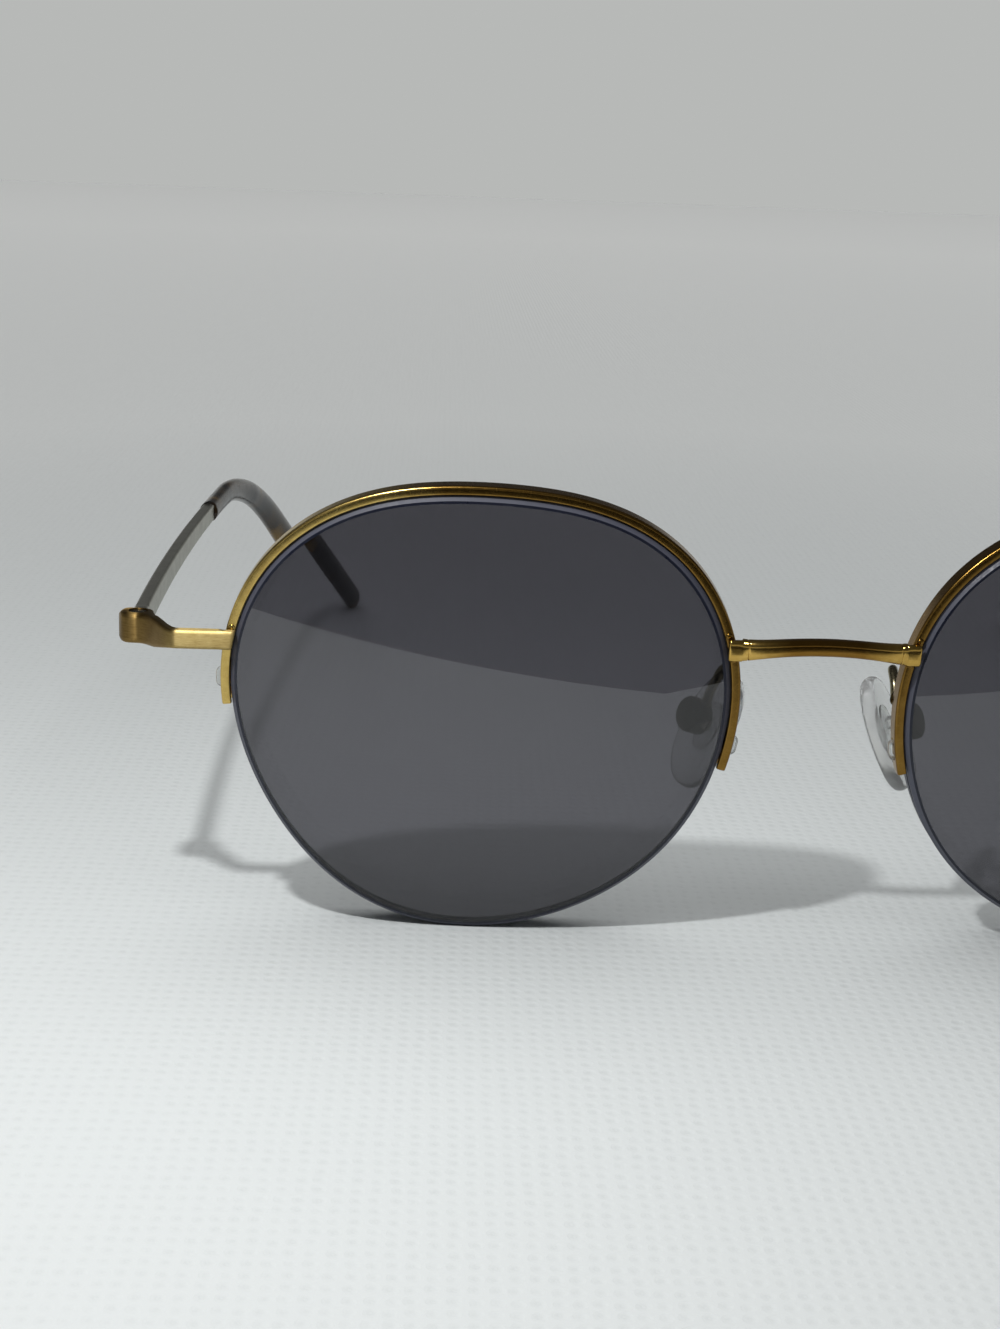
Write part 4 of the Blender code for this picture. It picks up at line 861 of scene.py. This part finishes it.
cord_first = temporal_holes[0] + turn_for(temporal_holes[0], CORD_BEND)
cord_last = 360 + nasal_holes[0] - turn_for(nasal_holes[0], CORD_BEND)
cord_route = threaded(*temporal_holes, -1)[::-1]
cord_route += [(angle, cord_sunk) for angle in evenly(cord_first, cord_last, CORD_STEPS)]
cord_route += [(360 + angle, out) for angle, out in threaded(*nasal_holes, 1)]
cord_path = [beside_lens(angle, out) for angle, out in cord_route]
depthwise = on_lens(0, 0, 1) - on_lens(0, 0, 0)
cord = draw_wire(round_outline(CORD_DIAMETER, CORD_DIAMETER, CORD_SIDES), run_places(cord_path, depthwise),
                 end_rounding=0.06)
clear_nylon = plastic("clear_nylon", (0.86, 0.88, 0.88), (0.06, 0.2), 900.0, clear=0.85, index=1.53)
finish("nylon_cord", cord, [clear_nylon], stands_for="lens_cord")

# Nose pads. Clear silicone moulded round a stiffer milky core, whose lug stands out of the back and rocks on
# the pad screw in the cup. The core's plate lies inside the pad.
PAD_LENGTH, PAD_WIDTH, PAD_THICKNESS, PAD_OFFSET, PAD_FULLNESS = 13.0, 7.2, 1.9, 1.2, 0.85
PAD_RUN, PAD_SIDES = 0.9, 64
PAD_PROFILE = ((0.04, 0), (0.4, 0.015), (0.74, 0.07), (0.93, 0.22), (1.0, 0.48), (0.97, 0.8), (0.86, 0.96),
               (0.7, 1))
PAD_TURN_IN, PAD_TURN_IN_LENGTH = 0.7, 0.834
LUG_RADIUS, STEM_WIDTH, STEM_GAP, STEM_SHARE = 0.65, 1.04, 0.02, 0.6
PLATE_LENGTH, PLATE_WIDTH, PLATE_OFFSET, PLATE_SHARES, PLATE_SIDES = 5.6, 2.9, 0.72, (0.62, 0.38), 40
pad_bodies = ("nose_pad_left", "nose_pad_right")
pad_back_face = -(BOX_DEPTH / 2 - BOX_MIDDLE + PAD_RUN)


def pad_edge(turn, share, depth):
    """Point of the pad at a turn round it, a share of the way out and a share of its thickness back."""
    up = PAD_LENGTH / 2 * math.cos(turn)
    back = PAD_WIDTH / 2 * math.copysign(abs(math.sin(turn)) ** PAD_FULLNESS, math.sin(turn))
    if share > PAD_TURN_IN:
        length_share = 1 - (1 - share) * PAD_WIDTH / PAD_LENGTH
    else:
        length_share = share * PAD_TURN_IN_LENGTH / PAD_TURN_IN
    return pad_place(up * length_share - PAD_OFFSET, back * share,
                     mix(pad_back_face - PAD_THICKNESS, pad_back_face, depth))


cushion = blank_form("turn")
turn_layer = cushion.verts.layers.float["turn"]
bmesh.ops.create_circle(cushion, segments=PAD_SIDES, radius=1)
for vertex in cushion.verts:
    vertex[turn_layer] = math.atan2(vertex.co.y, vertex.co.x)
ring, edges = cushion.verts[:], cushion.edges[:]
ends = [edges]
for step, point in enumerate(curve_through([Vector((*knot, 0)) for knot in PAD_PROFILE], cuts=3)):
    if step:
        ring, edges = next_ring(cushion, edges)
    for vertex in ring:
        vertex.co = pad_edge(vertex[turn_layer], point.x, point.y)
ends.append(edges)
for loop in ends:
    bmesh.ops.edgeloop_fill(cushion, edges=loop)
bmesh.ops.recalc_face_normals(cushion, faces=cushion.faces)
clear_silicone = plastic("clear_silicone", (0.98, 0.99, 0.985), (0.01, 0.06), 500.0, clear=0.82, index=1.28)
finish("pad_cushion", cushion, [clear_silicone], pad_bodies, "nose_pad", weighted=False)

stem_depth = -pad_back_face + PAD_THICKNESS * STEM_SHARE
core = turned(pad_place(0, -LUG_WIDTH / 2, 0), PAD_BACK,
              [(0, 0), (0, LUG_RADIUS), (LUG_WIDTH, LUG_RADIUS), (LUG_WIDTH, 0)])
stem = brick(pad_place(0, 0, -stem_depth / 2), PAD_AXES, (STEM_WIDTH, LUG_WIDTH - STEM_GAP, stem_depth))
core = cut(core, stem, "UNION")
plate_places = [placed(pad_place(-PLATE_OFFSET, 0, pad_back_face - PAD_THICKNESS * share), *PAD_AXES)
                for share in PLATE_SHARES]
core = cut(core, draw_wire(round_outline(PLATE_LENGTH, PLATE_WIDTH, PLATE_SIDES), plate_places), "UNION")
core = bore(core, pad_axis, PAD_BACK, reach=2, radius=PAD_SCREW_DIAMETER / 2 + SCREW_GAP, sides=20)
milky_core = plastic("milky_core", (0.94, 0.95, 0.94), (0.06, 0.16), 700.0, clear=0.88, index=1.36)
finish("pad_core", core, [milky_core], pad_bodies, like="nose_pad", bevel=0.06)

# Temple knuckles. The temple's half of the hinge, milled from nickel silver: a flat knuckle between the ears
# of the endpiece, a neck, and a shoulder that meets the back of the block and stops the open temple.
TEMPLE_LENGTH, TEMPLE_TO_BEND, TEMPLE_BEND, TEMPLE_STEPS = 145.0, 93.5, 34.0, 290
TEMPLE_SLOPE, TEMPLE_INWARD, TEMPLE_BOW, TIP_TURN, TIP_DROP = 0.5, 0.7, 1.3, 13.5, 34.05342
SHOULDER_FROM_AXIS, SHOULDER_LENGTH = 1.9, 1.5
ARM_THICKNESS, ARM_HEIGHT, ARM_END_HEIGHT, ARM_CORNER, ARM_END_ROUNDING = 1.5, 2.6, 2.2, 0.35, 0.07
KNUCKLE_EASING, NECK_THINNER = 0.08, 0.02
temple_bodies = ("temple_left", "temple_right")


def heading(length):
    """Direction of the temple at a length from its hinge."""
    bend = min(max((length - TEMPLE_TO_BEND) / TEMPLE_BEND + 0.5, 0.0), 1.0)
    down = math.radians(mix(TEMPLE_SLOPE, TIP_DROP, bend))
    inward = math.radians(mix(TEMPLE_INWARD, TIP_TURN, bend))
    if length < TEMPLE_TO_BEND:
        inward -= math.atan(4 * TEMPLE_BOW / TEMPLE_TO_BEND * (1 - 2 * length / TEMPLE_TO_BEND))
    return Vector((-math.sin(inward) * math.cos(down), math.cos(inward) * math.cos(down), -math.sin(down)))


stride = TEMPLE_LENGTH / TEMPLE_STEPS
temple_line = [HINGE.copy()]
for step in range(TEMPLE_STEPS):
    temple_line.append(temple_line[-1] + heading((step + 0.5) * stride) * stride)


def along_temple(lengths):
    """Points of the temple's middle line at lengths from the hinge."""
    points = []
    for length in lengths:
        place = length / TEMPLE_LENGTH * TEMPLE_STEPS
        index = min(int(place), TEMPLE_STEPS - 1)
        points.append(temple_line[index].lerp(temple_line[index + 1], place - index))
    return points


straight = heading(0)
straight = Vector((straight.x, straight.y, 0)).normalized()
knuckle_radius, eased_radius = KNUCKLE_DIAMETER / 2, KNUCKLE_DIAMETER / 2 - KNUCKLE_EASING
knuckle = turned(HINGE - UP * KNUCKLE_HEIGHT / 2, UP, [
    (0, 0), (0, eased_radius), (KNUCKLE_EASING, knuckle_radius),
    (KNUCKLE_HEIGHT - KNUCKLE_EASING, knuckle_radius), (KNUCKLE_HEIGHT, eased_radius), (KNUCKLE_HEIGHT, 0),
])
neck_start, neck_end = KNUCKLE_DIAMETER / 4, SHOULDER_FROM_AXIS + SHOULDER_LENGTH / 2
neck = brick(HINGE + straight * (neck_start + neck_end) / 2, (straight.cross(UP), straight, UP),
             (KNUCKLE_NECK, neck_end - neck_start, KNUCKLE_HEIGHT - NECK_THINNER))
knuckle = cut(knuckle, neck, "UNION")
shoulder_path = [HINGE + straight * (SHOULDER_FROM_AXIS + SHOULDER_LENGTH * share)
                 for share in (0, 0.33, 0.67, 1)]
shoulder = draw_wire(rectangle(ARM_THICKNESS, ARM_HEIGHT, ARM_CORNER, 5), run_places(shoulder_path, UP),
                     end_rounding=ARM_END_ROUNDING)
knuckle = cut(knuckle, shoulder, "UNION")
knuckle = bore(knuckle, HINGE, UP, reach=2, radius=SCREW_DIAMETER / 2 + SCREW_GAP, sides=32)
satin_metal = brushed_metal("olive_satin", ((0.32, 0.315, 0.265), (0.46, 0.455, 0.395), (0.60, 0.595, 0.53)),
                            roughness=(0.32, 0.46), marks=(1.2, 22.0), patina=500, spreads=0.25,
                            lengthwise=True, depth=0.000002)
finish("hinge_knuckle", knuckle, [satin_metal], temple_bodies, "temple_knuckle", bevel=0.04)

# Temple arms. A slim flat rod, brushed along its length to an olive grey satin, that starts behind the hinge
# at a fine seam. Behind the ear it goes on as a thin core wire inside the tip.
CORE_DIAMETER, CORE_END, CORE_SIDES, CORE_STEPS = 1.1, 9.0, 14, 50
SLEEVE_START, ARM_SEAM, ARM_IN_SLEEVE, ARM_STEPS = 63.5, 0.01, 0.2, 40
arm_start = SHOULDER_FROM_AXIS + SHOULDER_LENGTH + ARM_SEAM
arm_path = along_temple(evenly(arm_start, SLEEVE_START + ARM_IN_SLEEVE, ARM_STEPS))
arm_sizes = [(1, height) for height in evenly(1, ARM_END_HEIGHT / ARM_HEIGHT, ARM_STEPS)]
arm = draw_wire(rectangle(ARM_THICKNESS, ARM_HEIGHT, ARM_CORNER, 5), run_places(arm_path, UP, arm_sizes),
                end_rounding=ARM_END_ROUNDING)
core_path = along_temple(evenly(SLEEVE_START, TEMPLE_LENGTH - CORE_END, CORE_STEPS))
core_wire = draw_wire(round_outline(CORE_DIAMETER, CORE_DIAMETER, CORE_SIDES), run_places(core_path, UP),
                      end_rounding=0.15)
core_mesh = mesh_of(core_wire, "core wire")
arm.from_mesh(core_mesh)
bpy.data.meshes.remove(core_mesh)
finish("temple_rod", arm, [satin_metal], temple_bodies, "temple_arm")

# Temple tips. Dark tortoise acetate sleeves pushed over the core wire, polished, that grow into a flat paddle
# with a round end and are bent down behind the ear.
SLEEVE_THICKNESS, SLEEVE_HEIGHT, PADDLE_THICKNESS, PADDLE_HEIGHT = 2.4, 2.7, 2.9, 4.6
PADDLE_FROM_END, SLEEVE_SIDES, SLEEVE_STEPS = 12.0, 40, 90
sleeve_round = TEMPLE_LENGTH - PADDLE_HEIGHT / 2


def sleeve_size(length):
    """Thickness and height of the sleeve, drawn in over its round end."""
    share = smooth((length - SLEEVE_START) / (TEMPLE_LENGTH - PADDLE_FROM_END - SLEEVE_START))
    end = max(length - sleeve_round, 0) / (PADDLE_HEIGHT / 2)
    closing = max(math.sqrt(max(1 - end * end, 0.0)), 0.1)
    return (mix(SLEEVE_THICKNESS, PADDLE_THICKNESS, share) * closing,
            mix(SLEEVE_HEIGHT, PADDLE_HEIGHT, share) * closing)


sleeve_lengths = evenly(SLEEVE_START, sleeve_round, SLEEVE_STEPS)
sleeve_lengths += [sleeve_round + PADDLE_HEIGHT / 2 * math.sin(math.radians(turn))
                   for turn in range(8, 89, 8)]
sleeve_sizes = [sleeve_size(length) for length in sleeve_lengths]
sleeve_places = run_places(along_temple(sleeve_lengths), UP, sleeve_sizes)
sleeve = draw_wire(round_outline(1, 1, SLEEVE_SIDES), sleeve_places, end_rounding=0.2)
tortoise, tree, shader = new_material("tortoise_acetate", (0.02, 0.012, 0.008), 0.25)
place = add_node(tree, "ShaderNodeTexCoord").outputs["Object"]
patches = ramp(tree, noise(tree, place, 110.0, 2.0, Distortion=0.8), [
    (0.44, (0.006, 0.005, 0.005)), (0.54, (0.028, 0.016, 0.006)), (0.66, (0.17, 0.10, 0.02)),
])
polish = spread(tree, noise(tree, place, 900.0, 3.0), 0.1, 0.22, 0.3, 0.7)
fill(tree, shader, {"Base Color": patches, "Roughness": polish, "Specular IOR Level": 0.25})
finish("temple_sleeve", sleeve, [tortoise], temple_bodies, "temple_tip", weighted=False)

# Camera. It stands before the glasses at the photograph's place, turned a little to the side, tilted down and
# rolled. Its focal length is in pixels of a picture of the photograph's height.
CAMERA_PLACE = Vector((-38.65, -257.83, 80.64))
YAW, PITCH, ROLL = math.radians(2.01), math.radians(15.23), math.radians(2.13)
FOCAL_PIXELS, PICTURE_HEIGHT, SENSOR = 1965, 1329, 36
ahead = Vector((math.sin(YAW) * math.cos(PITCH), math.cos(YAW) * math.cos(PITCH), -math.sin(PITCH)))
level = Vector((math.cos(YAW), -math.sin(YAW), 0))
above = level.cross(ahead)
camera_data = bpy.data.cameras.new("camera")
camera_data.sensor_width, camera_data.lens = SENSOR, FOCAL_PIXELS * SENSOR / PICTURE_HEIGHT
camera_data.clip_start, camera_data.clip_end = 0.01, 20
camera = new_object("camera", camera_data)
camera.matrix_world = placed(CAMERA_PLACE * MM, level * math.cos(ROLL) + above * math.sin(ROLL),
                             above * math.cos(ROLL) - level * math.sin(ROLL), -ahead)
bpy.context.scene.camera = camera

# Stage. A sheet of pale cloth pressed with fine dots lies flat in a pale round room, dim above. A small lamp
# in front throws the shadows and a wide soft one overhead lights the rest. A black card lies on the cloth in
# front, out of view, where only reflections find it.
CLOTH_LIGHT, CLOTH_PRESSED, CLOTH_FAR_PAINTED_LIGHT = (0.66, 0.69, 0.69), (0.63, 0.66, 0.66), (0.925, 0.94, 0.925)
CLOTH_HALF, DOT_SPACING = 2.2, 0.0015
CARD_HALF, CARD_PLACE = 0.6, Vector((0, -0.9, 0.0005))
CARD_EDGE, CARD_SLOPE_LEFT, CARD_SLOPE_RIGHT = -0.126, 0.36, 0.3
LAMP_PLACE, LAMP_AIM = Vector((-0.084, -0.138, 0.153)), Vector((-0.02, -0.04, 0))
LAMP_SIZE, LAMP_POWER = 0.009, 0.165
SOFT_PLACE, SOFT_AIM = Vector((-0.03, 0.1, 6.0)), Vector((-0.03, 0.1, 0))
SOFT_SIZE, SOFT_POWER = 9.0, 305.0
WALL_TONE, DIM_TONE = (0.475, 0.485, 0.475), (0.06, 0.06, 0.06)

pale_cloth, tree, shader = new_material("pale_cloth", CLOTH_LIGHT, 0.9)
place = add_node(tree, "ShaderNodeTexCoord").outputs["Object"]
dots = add_node(tree, "ShaderNodeTexVoronoi", {"feature": "F1"}, Vector=place, Scale=1 / DOT_SPACING,
                Randomness=0.2).outputs["Distance"]
pressed = spread(tree, dots, 0, 1, 0.12, 0.42)
near_colour = ramp(tree, pressed, [(0, CLOTH_PRESSED), (0.6, CLOTH_LIGHT)])
# The cloth turns paler far off: painted light for the far cloth, which the lamps light less. There its dots
# give way to plain cloth.
away = add_node(tree, "ShaderNodeVectorMath", {"operation": "LENGTH"}, Vector=place).outputs["Value"]
far_painted_light = ramp(tree, spread(tree, away, 0, 1, 0.08, 1.3),
             [(0, (0, 0, 0)), (0.18, (0.6, 0.6, 0.6)), (1, (1, 1, 1))])
relief = add_node(tree, "ShaderNodeMath", {"operation": "MULTIPLY_ADD"},
                  {0: noise(tree, place, 2600.0, 3.0), 1: 0.3, 2: pressed}).outputs[0]
bump = add_node(tree, "ShaderNodeBump", Strength=0.6, Distance=0.00012, Height=relief).outputs["Normal"]
fill(tree, shader, {"Base Color": mixed_colour(tree, far_painted_light, near_colour, (*CLOTH_FAR_PAINTED_LIGHT, 1)), "Normal": bump,
                    "Specular IOR Level": 0.1})


def stage_sheet(form, name, material):
    """A sheet of the stage from a form in metres."""
    sheet = new_object(name, mesh_of(form, name))
    sheet.data.materials.append(material)
    return sheet


cloth = bmesh.new()
bmesh.ops.create_grid(cloth, x_segments=1, y_segments=1, size=CLOTH_HALF)
stage_sheet(cloth, "cloth", pale_cloth)
card = bmesh.new()
bmesh.ops.create_grid(card, x_segments=2, y_segments=1, size=CARD_HALF)
bmesh.ops.translate(card, vec=CARD_PLACE, verts=card.verts)
for vertex in card.verts:
    if vertex.co.y > CARD_PLACE.y:
        slope = CARD_SLOPE_LEFT if vertex.co.x < 0 else CARD_SLOPE_RIGHT
        vertex.co.y = CARD_EDGE - slope * abs(vertex.co.x)
card = stage_sheet(card, "black_card", new_material("black_card", (0.02, 0.02, 0.02), 0.9)[0])
card.visible_camera = card.visible_diffuse = card.visible_transmission = card.visible_shadow = False


def lamp(name, place, aim, shape, size, power):
    """An area lamp that faces a point and isn't seen itself."""
    data = bpy.data.lights.new(name, "AREA")
    data.shape, data.size, data.energy = shape, size, power
    light = new_object(name, data)
    light.matrix_world = facing(place, place - aim)
    light.visible_camera = False
    return light


lamp("near_lamp", LAMP_PLACE, LAMP_AIM, "DISK", LAMP_SIZE, LAMP_POWER)
soft_lamp = lamp("soft_lamp", SOFT_PLACE, SOFT_AIM, "SQUARE", SOFT_SIZE, SOFT_POWER)
soft_lamp.visible_glossy = soft_lamp.visible_transmission = False

room = bpy.data.worlds.new("room")
bpy.context.scene.world = room
room.use_nodes = True
tree = room.node_tree
direction = add_node(tree, "ShaderNodeTexCoord").outputs["Generated"]
height = add_node(tree, "ShaderNodeSeparateXYZ", Vector=direction).outputs["Z"]
fill(tree, tree.nodes["Background"], {"Color": ramp(tree, height, [(0.085, WALL_TONE), (0.2, DIM_TONE)])})

bpy.context.scene.view_settings.view_transform = "Standard"
